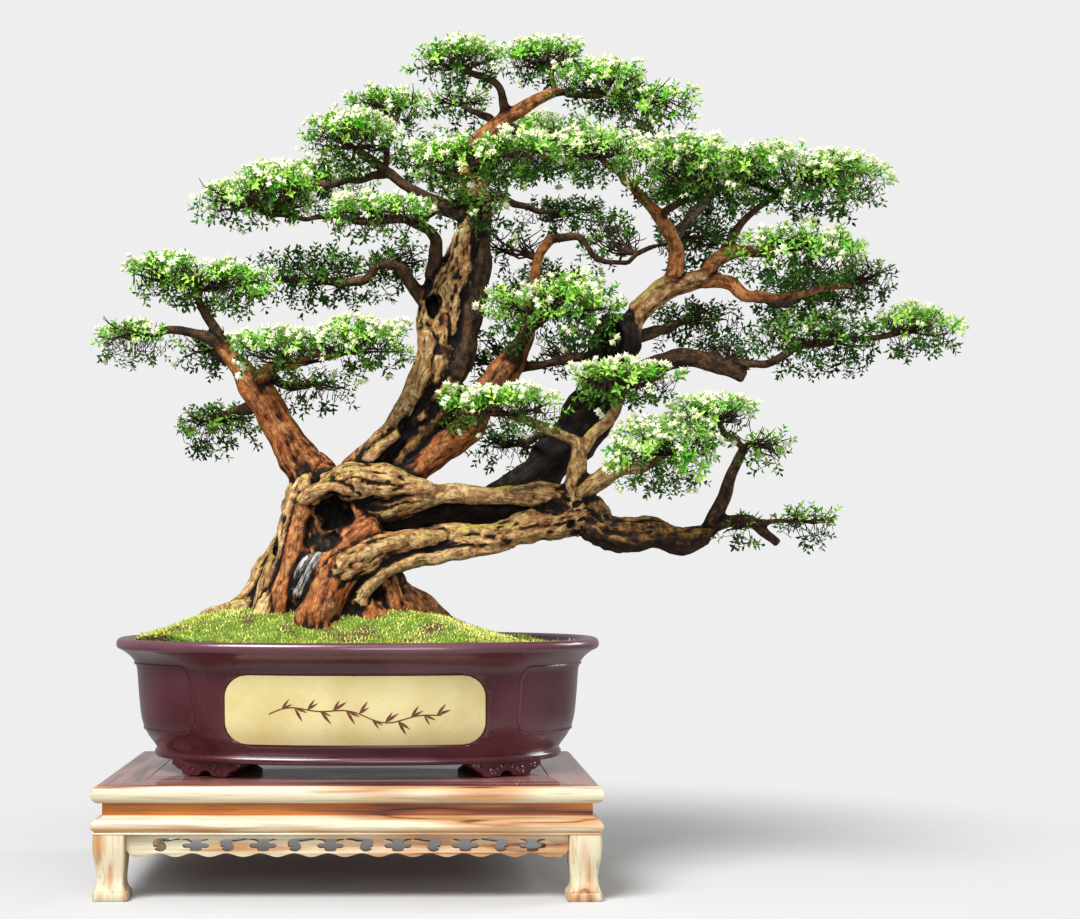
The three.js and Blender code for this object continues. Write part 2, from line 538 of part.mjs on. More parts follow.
// The foliage: each spray has clumps of [x, y, z, half width, half depth, half height] and blossoms.
const sprays = {
  left_top: { clumps: [[-295, -24, 955, 79, 66, 33], [-215, -18, 940, 83, 74, 37]], blossoms: 2 },
  left_tip: { clumps: [[-355, -42, 850, 63, 60, 30]], blossoms: 1 },
  left_inner: { clumps: [[-245, 66, 845, 59, 52, 38]], blossoms: 0 },
  left_low: { clumps: [[-235, 100, 725, 76, 66, 46]], blossoms: 0 },
  left_right: { clumps: [[-105, -84, 825, 106, 62, 34], [5, -92, 825, 105, 62, 34]], blossoms: 3 },
  left_under: { clumps: [[-75, 66, 780, 69, 54, 26]], blossoms: 0 },
  west_tip: { clumps: [[-205, 16, 1080, 64, 60, 34], [-140, 24, 1100, 81, 74, 45]], blossoms: 2 },
  west_crown: { clumps: [[-10, -4, 1175, 80, 80, 43]], blossoms: 2 },
  west_upper: { clumps: [[45, 118, 1255, 77, 62, 37]], blossoms: 1 },
  west_back: { clumps: [[-85, 210, 1145, 103, 70, 45]], blossoms: 1 },
  west_front: { clumps: [[35, -108, 1035, 92, 58, 29]], blossoms: 2 },
  west_low: { clumps: [[-65, 104, 975, 139, 60, 53]], blossoms: 0 },
  apex_left: { clumps: [[160, -24, 1295, 76, 70, 32]], blossoms: 1 },
  apex_back: { clumps: [[170, 134, 1265, 57, 50, 28]], blossoms: 0 },
  apex: { clumps: [[300, 64, 1320, 75, 70, 29]], blossoms: 1 },
  apex_right: { clumps: [[395, -4, 1265, 83, 66, 40], [475, 6, 1230, 90, 60, 42]], blossoms: 2 },
  heart_left: { clumps: [[150, -150, 1110, 70, 60, 33], [235, -152, 1115, 76, 66, 38]], blossoms: 3 },
  heart_right: { clumps: [[360, -146, 1120, 64, 70, 39]], blossoms: 2 },
  crown_back: { clumps: [[185, 236, 1190, 125, 74, 57], [310, 232, 1220, 124, 74, 57]], blossoms: 1 },
  knot_front: { clumps: [[175, -76, 1050, 69, 46, 37]], blossoms: 0 },
  inner_back: { clumps: [[350, 158, 1085, 95, 50, 37]], blossoms: 0 },
  east_crown: { clumps: [[515, -58, 1120, 107, 72, 49], [635, -54, 1110, 104, 70, 49],
    [745, -52, 1095, 107, 70, 47]], blossoms: 5 },
  east_back: { clumps: [[600, 232, 1145, 104, 72, 52]], blossoms: 1 },
  east_dark: { clumps: [[560, 102, 1030, 86, 56, 46]], blossoms: 0 },
  east_middle: { clumps: [[700, -54, 985, 107, 64, 49]], blossoms: 1 },
  east_shade: { clumps: [[835, 104, 965, 70, 56, 43]], blossoms: 0 },
  east_low: { clumps: [[560, 140, 900, 87, 56, 47]], blossoms: 0 },
  east_wide: { clumps: [[730, 4, 855, 106, 66, 58]], blossoms: 1 },
  east_tip: { clumps: [[895, 10, 875, 74, 64, 39]], blossoms: 1 },
  east_far_back: { clumps: [[765, 210, 955, 100, 64, 52]], blossoms: 0 },
  centre_front: { clumps: [[255, -124, 880, 67, 58, 47], [330, -118, 890, 80, 64, 55]], blossoms: 2 },
  centre_back: { clumps: [[325, 240, 970, 97, 66, 52]], blossoms: 0 },
  front_left: { clumps: [[200, -170, 730, 96, 60, 32]], blossoms: 2 },
  front_under: { clumps: [[255, 112, 690, 70, 54, 33]], blossoms: 0 },
  front_middle: { clumps: [[410, -142, 775, 85, 64, 29]], blossoms: 2 },
  front_right: { clumps: [[465, -172, 665, 87, 72, 57]], blossoms: 4 },
  front_high: { clumps: [[540, -166, 720, 72, 60, 30]], blossoms: 2 },
  far_twig: { clumps: [[645, -46, 675, 41, 44, 41]], blossoms: 0 },
  lowest: { clumps: [[705, -68, 560, 62, 46, 28]], blossoms: 0 },
};

/** The heart of a clump: a lumpy stretched icosahedron, well inside the reach of its leaves. */
function clumpCore([x, y, z, width, depth, height]) {
  const core = new THREE.IcosahedronGeometry(1);
  core.rotateZ(x + y);
  return bend(core, (p) => {
    const lump = coreShare + 0.09 * Math.sin(5 * p.x + 0.05 * x) * Math.cos(4 * p.y + 0.07 * z);
    p.set(x + p.x * width * lump, y + p.y * depth * lump, z + p.z * height * lump);
  });
}

/** A leaf folded along its keel, four faces, from its root along an axis with its upper side towards up. */
function leaf(root, axis, up, length) {
  const blade = new THREE.TetrahedronGeometry(1);
  const across = up.clone().cross(axis).normalize();
  const above = axis.clone().cross(across);
  const width = (length * leafWidth) / leafLength;
  return solidOf(bend(blade, (p) => {
    const margin = p.z > 0;
    const along = margin ? 0.55 * length : (p.x > 0 ? length : 0);
    const aside = margin ? (Math.sign(p.x) * width) / 2 : 0;
    const raised = margin ? leafThickness : 0;
    p.copy(root).addScaledVector(axis, along);
    p.addScaledVector(across, aside).addScaledVector(above, raised);
  }));
}

/** A head of stamens, as a small faceted tuft half sunk in the leaves. */
function blossom(at) {
  const tuft = new THREE.ConeGeometry(blossomRadius, 2 * blossomRadius, 4);
  tuft.rotateX(Math.PI / 2);
  tuft.translate(at.x, at.y, at.z);
  return solidOf(tuft);
}

/** Where a direction from a clump's middle leaves its core, and the way that the face there looks. */
function onCore(clump, way) {
  const position = clumpCore(clump).attributes.position;
  const centre = new THREE.Vector3(...clump);
  const line = new THREE.Ray(centre, way);
  const found = { distance: Infinity };
  const face = new THREE.Triangle();
  for (let i = 0; i < position.count; i += 3) {
    face.setFromAttributeAndIndices(position, i, i + 1, i + 2);
    const hit = line.intersectTriangle(face.a, face.b, face.c, false, new THREE.Vector3());
    if (hit && hit.distanceTo(centre) < found.distance) {
      found.distance = hit.distanceTo(centre);
      found.point = hit.lerp(face.getMidpoint(new THREE.Vector3()), 0.5);
      found.facing = face.getNormal(new THREE.Vector3());
    }
  }
  if (found.facing.dot(way) < 0) found.facing.negate();
  return found;
}

/** Leaves set evenly round a clump along a golden spiral, swept outwards, each turned a little by chance. */
function leavesOf(clump, random) {
  const [, , , width, depth, height] = clump;
  const leaves = [];
  const goldenTurn = Math.PI * (3 - Math.sqrt(5));
  const count = Math.round((width + depth) / leafPitch);
  for (let i = 0; i < count; i++) {
    const rise = 1 - (2 * i + 1) / count;
    const turn = i * goldenTurn + 0.5 * random();
    const spread = Math.sqrt(1 - rise * rise);
    const way = new THREE.Vector3(spread * Math.cos(turn), spread * Math.sin(turn), rise);
    way.multiply(new THREE.Vector3(width, depth, height)).normalize();
    const { point, facing } = onCore(clump, way);
    const sweep = new THREE.Vector3(way.x, way.y, 0).normalize().multiplyScalar(leafSweep);
    const stray = new THREE.Vector3(random() - 0.5, random() - 0.5, random() - 0.4).multiplyScalar(0.5);
    const axis = facing.clone().add(sweep).add(stray).normalize();
    const up = new THREE.Vector3(random() - 0.5, random() - 0.5, 1).normalize();
    const root = point.clone().addScaledVector(axis, -leafSunk);
    leaves.push([root, axis, up, leafLength * (0.85 + 0.3 * random())]);
  }
  return leaves;
}

/** Blossoms scattered over the top of a spray's clumps in turn. */
function blossomsOf({ clumps, blossoms }, random) {
  const heads = [];
  for (let i = 0; i < blossoms; i++) {
    const turn = 2 * Math.PI * random();
    const clump = clumps[i % clumps.length];
    const way = new THREE.Vector3(0.6 * Math.cos(turn), 0.6 * Math.sin(turn), 0.8);
    way.multiply(new THREE.Vector3(...clump.slice(3))).normalize();
    heads.push(onCore(clump, way).point);
  }
  return heads;
}

function makeSprays(bore) {
  const names = Object.keys(sprays);
  const cores = names.map((name) => unite(sprays[name].clumps.map((clump) => solidOf(clumpCore(clump)))));
  const grown = [...cores];
  return names.map((name, i) => {
    const random = seeded(i + 1);
    const others = grown.filter((_, k) => k !== i);
    const clear = (solid) => others.every((other) => solid.intersect(other).isEmpty());
    const kept = sprays[name].clumps
      .flatMap((clump) => leavesOf(clump, random))
      .filter(([root, axis, up, length]) => clear(leaf(root, axis, up, 1.15 * length)))
      .map((form) => leaf(...form));
    const heads = blossomsOf(sprays[name], random).map(blossom).filter(clear);
    grown[i] = largest(unite([cores[i], ...kept, ...heads]).subtract(bore));
    return piece(`spray_${name}`, grown[i], 'foliage');
  });
}

/** The height of the moss over a point of the pot: a broad mound about the roots. */
function moundHeight(x, y) {
  const broad = ((x - moundCentre) / moundReach) ** 6 + (y / moundDepth) ** 6;
  return rimHeight - soilHollow + (soilHollow + soilRise) / (1 + broad);
}

/** The soil fills the pot up to the mound, and takes the roots in a plain hole. */
function makeSoil(bore) {
  const edge = rimHeight - soilHollow;
  const under = cavityProfile.slice(0, -2).map(([inset, z]) => [inset, z + clearance]);
  const profile = [...under, ...soilRings.map((inset) => [inset, edge]), [null, edge]];
  const filled = bend(ovalGeometry(profile, -clearance), (p) => {
    if (p.z > edge - 1) p.z = moundHeight(p.x, p.y);
  });
  return piece('soil', solidOf(filled).subtract(bore), 'soil');
}

const bore = unite(limbSolids(clearance));
const wood = unite(limbSolids(0)).subtract(unite(hollows.map(hollow)));

const bonsai = new THREE.Group();
bonsai.add(makeStand(), ...makePot(), makeSoil(bore));
bonsai.add(piece('trunk_and_limbs', wood, 'bark'), ...makeSprays(bore));

// The origin lies on the floor, under the middle of the whole bonsai.
const extent = new THREE.Box3().setFromObject(bonsai);
const middle = extent.getCenter(new THREE.Vector3());
bonsai.position.set(-middle.x, -middle.y, -extent.min.z);

export default bonsai;
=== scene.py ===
import math
import random

import bmesh
import bpy
import numpy as np
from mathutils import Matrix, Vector, noise


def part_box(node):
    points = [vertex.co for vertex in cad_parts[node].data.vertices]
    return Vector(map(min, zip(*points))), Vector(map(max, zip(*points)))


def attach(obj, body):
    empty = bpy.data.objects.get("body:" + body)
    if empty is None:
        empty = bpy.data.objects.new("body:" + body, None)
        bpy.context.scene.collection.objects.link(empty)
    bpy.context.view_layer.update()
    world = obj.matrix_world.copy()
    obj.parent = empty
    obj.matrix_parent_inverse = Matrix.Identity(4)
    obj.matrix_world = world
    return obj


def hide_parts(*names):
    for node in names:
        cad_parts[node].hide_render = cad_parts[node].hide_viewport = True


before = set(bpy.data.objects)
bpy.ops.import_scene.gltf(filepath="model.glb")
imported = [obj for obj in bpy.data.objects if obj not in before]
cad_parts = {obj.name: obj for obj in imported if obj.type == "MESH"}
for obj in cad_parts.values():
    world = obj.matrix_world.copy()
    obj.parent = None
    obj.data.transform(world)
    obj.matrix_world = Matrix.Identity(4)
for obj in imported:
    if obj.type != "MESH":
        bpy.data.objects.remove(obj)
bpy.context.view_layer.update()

# The stand's top is a flat frame of four rails, mitred at the corners, with a rounded nose along its
# outer edge. It is a pale, strongly figured hardwood under a thin clear lacquer.
panel_low, panel_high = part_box("stand_panel")
pot_low, pot_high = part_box("pot")
middle = (pot_low + pot_high) / 2
stand_shift = 500 * (panel_low.x + panel_high.x) - 1000 * middle.x

stand_half = {"front": 375, "right": 255, "back": 375, "left": 255}
side_turns = {"front": 0, "right": 1, "back": 2, "left": 3}
rail_top, rail_under = 169, 143
rail_width = 70
nose_depth = 11
joint_gap = 0.2


def place(x, y, z):
    """A point in millimetres from the middle of the pot, in the row frame's metres."""
    return Vector((middle.x + x / 1000, middle.y + y / 1000, z / 1000))


def on_stand(x, y, z):
    """A point in millimetres from the middle of the stand, which the pot stands a little right of."""
    return place(x + stand_shift, y, z)


def paint(code):
    """A colour from its usual six-digit code, as the shader wants it."""
    parts = [int(code[i : i + 2], 16) / 255 for i in (0, 2, 4)]
    linear = [p / 12.92 if p <= 0.04045 else ((p + 0.055) / 1.055) ** 2.4 for p in parts]
    return (*linear, 1.0)


def node(tree, kind, settings=None, sockets=None):
    """Adds a node. A socket's value is a constant or the output that feeds it."""
    made = tree.nodes.new(kind)
    for key, value in (settings or {}).items():
        setattr(made, key, value)
    for key, value in (sockets or {}).items():
        if isinstance(value, bpy.types.NodeSocket):
            tree.links.new(value, made.inputs[key])
        else:
            made.inputs[key].default_value = value
    return made


def maths(tree, operation, a, b=0.0, clamp=False):
    return node(tree, "ShaderNodeMath", {"operation": operation, "use_clamp": clamp}, {0: a, 1: b}).outputs[0]


def times(tree, a, b):
    return maths(tree, "MULTIPLY", a, b)


def plus(tree, a, b):
    return maths(tree, "ADD", a, b)


def vectors(tree, operation, a, b):
    return node(tree, "ShaderNodeVectorMath", {"operation": operation}, {0: a, 1: b}).outputs[0]


def upward(tree, vector):
    """The upright part of a vector."""
    return node(tree, "ShaderNodeSeparateXYZ", None, {0: vector}).outputs[2]


def blended(tree, share, a, b):
    """Two colours mixed by a share. A colour is an output or a six-digit code."""
    a, b = (paint(colour) if isinstance(colour, str) else colour for colour in (a, b))
    return node(tree, "ShaderNodeMix", {"data_type": "RGBA"}, {0: share, 6: a, 7: b}).outputs[2]


def ranged(tree, value, low, high, to_low=0.0, to_high=1.0):
    return node(tree, "ShaderNodeMapRange", {"interpolation_type": "SMOOTHSTEP"},
                {0: value, 1: low, 2: high, 3: to_low, 4: to_high}).outputs[0]


def clouds(tree, where, scale, detail=2.0, **more):
    """Soft noise over a place, from 0 to 1."""
    return node(tree, "ShaderNodeTexNoise", None,
                {"Vector": where, "Scale": scale, "Detail": detail, **more}).outputs[0]


def spot(tree):
    """The place on the object that is being shaded."""
    return node(tree, "ShaderNodeTexCoord").outputs["Object"]


def noted(tree, name, output="Fac"):
    """A value that the mesh keeps for each of its points."""
    return node(tree, "ShaderNodeAttribute", {"attribute_name": name}).outputs[output]


def new_tree(name, kind, inputs, outputs):
    """An empty node tree with its named sockets, and its input and output nodes."""
    tree = bpy.data.node_groups.new(name, kind)
    for way, sockets in (("INPUT", inputs), ("OUTPUT", outputs)):
        for label, socket, value in sockets:
            made = tree.interface.new_socket(name=label, in_out=way, socket_type=socket)
            if value is not None:
                made.default_value = value
    return tree, tree.nodes.new("NodeGroupInput"), tree.nodes.new("NodeGroupOutput")


def new_material(name, **constants):
    """A material and its tree. Plain constants are set on the Principled shader itself."""
    material = bpy.data.materials.new(name)
    material.use_nodes = True
    for key, value in constants.items():
        material.node_tree.nodes["Principled BSDF"].inputs[key.replace("_", " ")].default_value = value
    return material, material.node_tree


def dressed(material, colour, roughness=None, bump=None):
    """The material with its shader fed. A bump is its strength, its depth in metres and its height."""
    tree = material.node_tree
    feeds = {"Base Color": colour, "Roughness": roughness}
    if bump:
        sockets = dict(zip(("Strength", "Distance", "Height"), bump))
        feeds["Normal"] = node(tree, "ShaderNodeBump", None, sockets).outputs[0]
    for key, value in feeds.items():
        if value is not None:
            tree.links.new(value, tree.nodes["Principled BSDF"].inputs[key])
    return material


def grain_group():
    """Long wood grain along X: broad figure, fine fibre, and their relief."""
    group, come, go = new_tree(
        "wood_grain", "ShaderNodeTree",
        [("Vector", "NodeSocketVector", None), ("Figure", "NodeSocketFloat", 9.0)],
        [(label, "NodeSocketFloat", None) for label in ("Figure", "Fibre", "Relief")])
    where = come.outputs["Vector"]
    waver = clouds(group, vectors(group, "MULTIPLY", where, (0.55, 6.0, 6.0)), 2.2, 3.0, Roughness=0.55)
    figure = maths(group, "PINGPONG", times(group, waver, come.outputs["Figure"]), 1.0)
    fibre = clouds(group, vectors(group, "MULTIPLY", where, (9.0, 260.0, 260.0)), 1.0)
    relief = plus(group, times(group, figure, 0.25), fibre)
    for label, value in (("Figure", figure), ("Fibre", fibre), ("Relief", relief)):
        group.links.new(value, go.inputs[label])
    return group


wood_grain = grain_group()


def stand_wood(name, turn, pale="C8BEA2", amber="B4885C", streak="603620", polish=0.35, haze=0.18):
    """Lacquered hardwood whose grain runs along X when turn is zero."""
    material, tree = new_material(name, Coat_Weight=polish, Coat_Roughness=haze)
    along = node(tree, "ShaderNodeMapping", None, {"Vector": spot(tree), "Rotation": turn}).outputs[0]
    grain = node(tree, "ShaderNodeGroup", {"node_tree": wood_grain}, {"Vector": along, "Figure": 9.0}).outputs
    figure, fibre = grain["Figure"], grain["Fibre"]
    base = blended(tree, ranged(tree, figure, 0.25, 0.95), pale, amber)
    dark = times(tree, ranged(tree, figure, 0.86, 1.0), ranged(tree, fibre, 0.35, 0.62))
    pores = times(tree, ranged(tree, fibre, 0.5, 0.3), 0.35)
    colour = blended(tree, pores, blended(tree, dark, base, streak), streak)
    rough = ranged(tree, fibre, 0.3, 0.7, 0.5, 0.32)
    return dressed(material, colour, rough, (0.25, 0.0006, grain["Relief"]))


# The grain runs along each rail. The faces that look upward are given a darker rosy brown and are polished
# until they mirror the pot.
side_run = {"front": "lengthwise", "right": "crosswise", "back": "lengthwise", "left": "crosswise"}
run_turn = {"lengthwise": (0, 0, 0), "crosswise": (0, 0, math.pi / 2)}
plain = {run: stand_wood(f"hardwood_{run}", turn) for run, turn in run_turn.items()}
rosy = {run: stand_wood(f"polished_{run}", turn, "B07E76", "84504E", "3A1A1C", 1.0, 0.04)
        for run, turn in run_turn.items()}


def added(name, data):
    """A new object in the scene."""
    made = bpy.data.objects.new(name, data)
    bpy.context.scene.collection.objects.link(made)
    return made


def stand_in(name, mesh, crease=30):
    """An object for a mesh that is already in its place."""
    mesh.shade_smooth()
    mesh.set_sharp_from_angle(angle=math.radians(crease))
    return added(name, mesh)


def bare_mesh(name, points, faces):
    mesh = bpy.data.meshes.new(name)
    mesh.from_pydata([tuple(p) for p in points], [], faces)
    return mesh


def face_outward(mesh, weld=0):
    """Turns a mesh's faces outward, once points closer than weld metres are one."""
    shaped = bmesh.new()
    shaped.from_mesh(mesh)
    if weld:
        bmesh.ops.remove_doubles(shaped, verts=shaped.verts, dist=weld)
    bmesh.ops.recalc_face_normals(shaped, faces=shaped.faces)
    shaped.to_mesh(mesh)
    shaped.free()
    return mesh


def make_piece(name, points, faces, materials, crease=30):
    """A mesh piece with its faces turned outward, smooth but for edges sharper than crease degrees."""
    mesh = face_outward(bare_mesh(name, points, faces))
    for material in materials:
        mesh.materials.append(material)
    return stand_in(name, mesh, crease)


def second_look(piece, material, chosen):
    """Gives another material to the faces that are chosen."""
    piece.data.materials.append(material)
    for face in piece.data.polygons:
        if chosen(face):
            face.material_index = 1


def settle(piece, slot, *nodes):
    """The piece rides on the one body, and stands for the CAD nodes that are named."""
    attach(piece, "root")
    if nodes:
        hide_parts(*nodes)


def ring_faces(count, size, capped=True):
    """The faces of a skin over rings of points, one ring after the other, closed at both ends."""
    faces = []
    for layer in range(count - 1):
        for k in range(size):
            a, b = layer * size + k, layer * size + (k + 1) % size
            faces.append([a, b, b + size, a + size])
    if capped:
        faces += [list(range(size)), list(range((count - 1) * size, count * size))]
    return faces


def turned(side, along, inset, height):
    """A point on one side of the stand, from its middle, its outer edge and the floor."""
    reach = stand_half["right" if side in ("front", "back") else "front"]
    across = inset - reach
    quarter = side_turns[side] * math.pi / 2
    c, s = round(math.cos(quarter)), round(math.sin(quarter))
    return on_stand(c * along - s * across, s * along + c * across, height)


def mitred_member(name, side, profile, material):
    """A moulded board along one side of the stand, cut at 45 degrees where it meets its neighbours."""
    half = stand_half[side]
    points = [turned(side, end * (half - inset - joint_gap), inset, height)
              for end in (-1, 1) for inset, height in profile]
    return make_piece(name, points, ring_faces(2, len(profile)), [material], crease=35)


def arc(inset, height, reach, rise, start, end, steps):
    """Points on an ellipse's arc, in degrees."""
    turns = [math.radians(start + (end - start) * i / steps) for i in range(steps + 1)]
    return [(inset + reach * math.cos(t), height + rise * math.sin(t)) for t in turns]


nose = arc(nose_depth, (rail_top + rail_under) / 2, -nose_depth, -13, 82, -82, 14)
rail_profile = [(rail_width, rail_under), (nose_depth + 5, rail_under), *nose, (nose_depth + 5, rail_top),
                (rail_width, rail_top), (rail_width, 163), (62, 163), (62, 156), (rail_width, 156)]
for side, run in side_run.items():
    rail = mitred_member(f"rail_{side}", side, rail_profile, plain[run])
    second_look(rail, rosy[run], lambda face: face.normal.z > 0.9)
    settle(rail, "stand_wood", f"stand_frame_{side}")

# The panel floats in a groove of the rails, so that it can swell and shrink. It is of the same wood as
# the rails, with the same rosy polish on top.
panel_half = (304.6, 184.6)
panel_edge = 1.2
panel_layers = [(-1.0, 153), (0, 154), (0, 158.6), (8, 158.6), (8, 160.2), (0, 160.2),
                (0, rail_top - panel_edge), (-panel_edge, rail_top)]
panel_points = [on_stand(sx * (panel_half[0] + grow), sy * (panel_half[1] + grow), height)
                for grow, height in panel_layers for sx, sy in ((-1, -1), (1, -1), (1, 1), (-1, 1))]
panel_faces = ring_faces(len(panel_layers), 4)
panel = make_piece("floating_panel", panel_points, panel_faces, [rosy["lengthwise"]], crease=20)
settle(panel, "stand_wood", "stand_panel")

# Under the rails runs a recessed waist, in one length with the round moulding below it. The waist lies in
# shade, and its upright faces are painted a darker brown, partly its own stain and partly painted shade; the
# moulding carries the aprons and the legs.
waist_stain_and_shade = {run: stand_wood(f"waist_{run}", turn, "BC7430", "74320E", "260D06")
              for run, turn in run_turn.items()}
waist_top, waist_under, moulding_under = 142.6, 124.6, 97.6
moulding = [(15, waist_under), (13.5, 122.6), (10, 121.2), (5.5, 119.2), (2.2, 116), (0.6, 112.4),
            (0, 109), (0.6, 105.8), (2.4, 103.4), (4.6, 102.4), (5.2, 101.2), (3.6, 100.2), (3, 98.8),
            (3.6, moulding_under)]
waist_profile = [(15, waist_top), *moulding, (40, moulding_under), (40, waist_top)]
for side, run in side_run.items():
    waist = mitred_member(f"waist_{side}", side, waist_profile, plain[run])
    second_look(waist, waist_stain_and_shade[run],
                lambda face: abs(face.normal.z) < 0.1 and face.center.z > waist_under / 1000)
    settle(waist, "stand_wood", f"stand_waist_{side}")

# Between the legs hang thin aprons, sawn to a wavy lower edge and pierced by hand with a row of
# cloud scrolls, each a curl with its tail or a three-lobed cloud.
apron_board = 14
apron_setback = 14
apron_edge = 0.0009
apron_top, apron_low = 97.2, 63.2
scroll_height = apron_top - 16.5
apron_reach = {"front": 324.6, "right": 204.6, "back": 324.6, "left": 204.6}
scroll_count = {"front": 12, "right": 7, "back": 12, "left": 7}
curl_form = [(-9, 1), (-8.5, 5.5), (-4, 8), (3, 8.2), (11, 9), (19, 7.6), (12, 6.2), (6, 4.8), (1.5, 4.6),
             (3.6, 1.4), (4.2, -3), (1.4, -6.6), (-3, -7.4), (-7.4, -5), (-5.2, -2.2), (-8.2, -1.8)]
cloud_form = [(0, -8), (4.4, -7.2), (5.4, -3.6), (9.6, -3.4), (11.6, 0), (8.8, 2.6), (4.2, 2.6), (6, 6),
              (11, 8), (0, 9), (-11, 8), (-6, 6), (-4.2, 2.6), (-8.8, 2.6), (-11.6, 0), (-9.6, -3.4),
              (-5.4, -3.6), (-4.4, -7.2)]


def between(p, t):
    """The place at share t from the second to the third of four points of a smooth curve."""
    return 0.5 * (2 * p[1] + (p[2] - p[0]) * t + (2 * p[0] - 5 * p[1] + 4 * p[2] - p[3]) * t**2
                  + (3 * p[1] - p[0] - 3 * p[2] + p[3]) * t**3)


def rounded_loop(points, steps):
    """A smooth closed line through the points."""
    count = len(points)
    line = []
    for i in range(count):
        p = [np.array(points[(i + k - 1) % count], float) for k in range(4)]
        line += [between(p, j / steps) for j in range(steps)]
    return line


def apron_outline(reach, scrolls):
    """The board's outline: straight above, brackets at the legs and a wave between them below."""
    edge = [(-reach, apron_top), (-reach, apron_top - 23), (-reach + 4, apron_low + 5),
            (-reach + 12, apron_low), (-reach + 20, apron_low + 1.5)]
    steps = 8 * scrolls
    wave = []
    for i in range(steps + 1):
        x = -reach + 26 + (2 * reach - 52) * i / steps
        rise = 3.2 - 2.6 * math.cos(2 * math.pi * i / 8) + 1.2 * math.sin(math.pi * i / 4)
        wave.append((x, apron_low + rise))
    return edge + wave + [(-x, z) for x, z in reversed(edge)]


def add_loop(curve, line):
    spline = curve.splines.new("POLY")
    spline.points.add(len(line) - 1)
    for target, (x, z) in zip(spline.points, line):
        target.co = (x / 1000, z / 1000, 0, 1)
    spline.use_cyclic_u = True


def as_shown(thing):
    """A plain mesh of an object as its modifiers or its curve settings show it."""
    bpy.context.view_layer.update()
    return bpy.data.meshes.new_from_object(thing.evaluated_get(bpy.context.evaluated_depsgraph_get()))


def pierced_apron(side):
    reach, scrolls = apron_reach[side], scroll_count[side]
    curve = bpy.data.curves.new(f"apron_{side}", "CURVE")
    curve.dimensions = "2D"
    curve.fill_mode = "BOTH"
    curve.bevel_depth = apron_edge
    curve.bevel_resolution = 1
    curve.offset = -apron_edge
    curve.extrude = apron_board / 2000 - apron_edge
    add_loop(curve, apron_outline(reach, scrolls))
    pitch = (2 * reach - 56) / scrolls
    for i in range(scrolls):
        centre = (i - (scrolls - 1) / 2) * pitch
        facing = -1 if centre < 0 else 1
        form, wide, tall = (curl_form, 1.45, 1.24) if i % 2 == 0 else (cloud_form, 1.7, 1.12)
        add_loop(curve, [(centre - facing * wide * u, scroll_height + tall * v)
                         for u, v in rounded_loop(form, 3)])
    sketch = added("sketch", curve)
    mesh = as_shown(sketch)
    bpy.data.objects.remove(sketch)
    for vertex in mesh.vertices:
        x, z, y = vertex.co * 1000
        vertex.co = turned(side, x, apron_setback + apron_board / 2 + y, z)
    face_outward(mesh, weld=0.00002)
    mesh.materials.clear()
    mesh.materials.append(plain[side_run[side]])
    return stand_in(f"apron_{side}", mesh, crease=40)


for side in side_run:
    settle(pierced_apron(side), "stand_wood", f"stand_apron_{side}")

# The legs are square posts with softly rounded corners. They swell at the knee, draw in above the
# foot, and stand on a small carved block with a fine line cut round it.
leg_stations = [(0, 1.5, 49), (2, 0, 52), (9, 0, 52), (12.5, 0.6, 51), (13.6, 2.2, 48), (14.8, 1.8, 48),
                (17, 2.6, 45.5), (24, 4.6, 41.5), (36, 6, 40), (48, 4.4, 43), (60, 2.2, 46), (72, 0.6, 47.8),
                (84, 0.2, 48), (97.2, 1, 47)]
leg_corner = 5
leg_edge = 2


def leg_ring(width):
    """A square with rounded corners, from the leg's outer corner inwards."""
    ring = []
    for quarter, (cx, cy) in enumerate([(0, 0), (1, 0), (1, 1), (0, 1)]):
        px = leg_corner + cx * (width - 2 * leg_corner)
        py = leg_corner + cy * (width - 2 * leg_corner)
        for i in range(4):
            t = math.radians(180 + 90 * quarter + 30 * i)
            ring.append((px + leg_corner * math.cos(t), py + leg_corner * math.sin(t)))
    return ring


upright_wood = stand_wood("hardwood_upright", (0, math.pi / 2, 0))
corners = {"front_left": (-1, -1), "front_right": (1, -1), "back_right": (1, 1), "back_left": (-1, 1)}
for corner, (sx, sy) in corners.items():
    leg_points = []
    for height, setback, width in leg_stations:
        reach_x, reach_y = (stand_half[side] - leg_edge - setback for side in ("front", "right"))
        leg_points += [on_stand(sx * (reach_x - u), sy * (reach_y - v), height) for u, v in leg_ring(width)]
    leg_faces = ring_faces(len(leg_stations), 16)
    leg = make_piece(f"leg_{corner}", leg_points, leg_faces, [upright_wood], crease=38)
    settle(leg, "stand_wood", f"stand_leg_{corner}")

# The pot is one piece of dark stoneware, thrown oval: a rolled lip over a hollow neck, an upright
# belly, a base band, and four bracket feet with cloud scrolls. A glossy plum-brown glaze covers it.
pot_bottom = 169.4
rim = pot_bottom + 208
body_bottom = pot_bottom + 22
pot_half = (383, 250)
oval_power = 2.35
around = 144
pot_wall = [
    (66, 0), (62.5, 0.6), (60.6, 2.4), (59.6, 5), (60, 8), (61.8, 10.6), (63.4, 12.4), (62.6, 15), (59.4, 20),
    (55, 26), (50, 33), (45.6, 41), (42, 50), (39.4, 60), (37.6, 72), (36.2, 86), (35, 100), (34, 114),
    (33.2, 126), (32.4, 136), (30.6, 144), (27.4, 150.6), (22.6, 156.6), (17, 161.8), (11.4, 165.8),
    (7, 168.2), (4.4, 169.4), (2, 170.8), (0.5, 173.4), (0, 176.6), (0.5, 180.4), (2.2, 183.8),
    (5.4, 185.8), (9.6, 186), (15, 184.8), (20.6, 183), (24.6, 180), (27.6, 174), (30, 165), (34, 150),
    (44, 110), (52, 76), (62, 40), (78, 22), (110, 17.4),
]


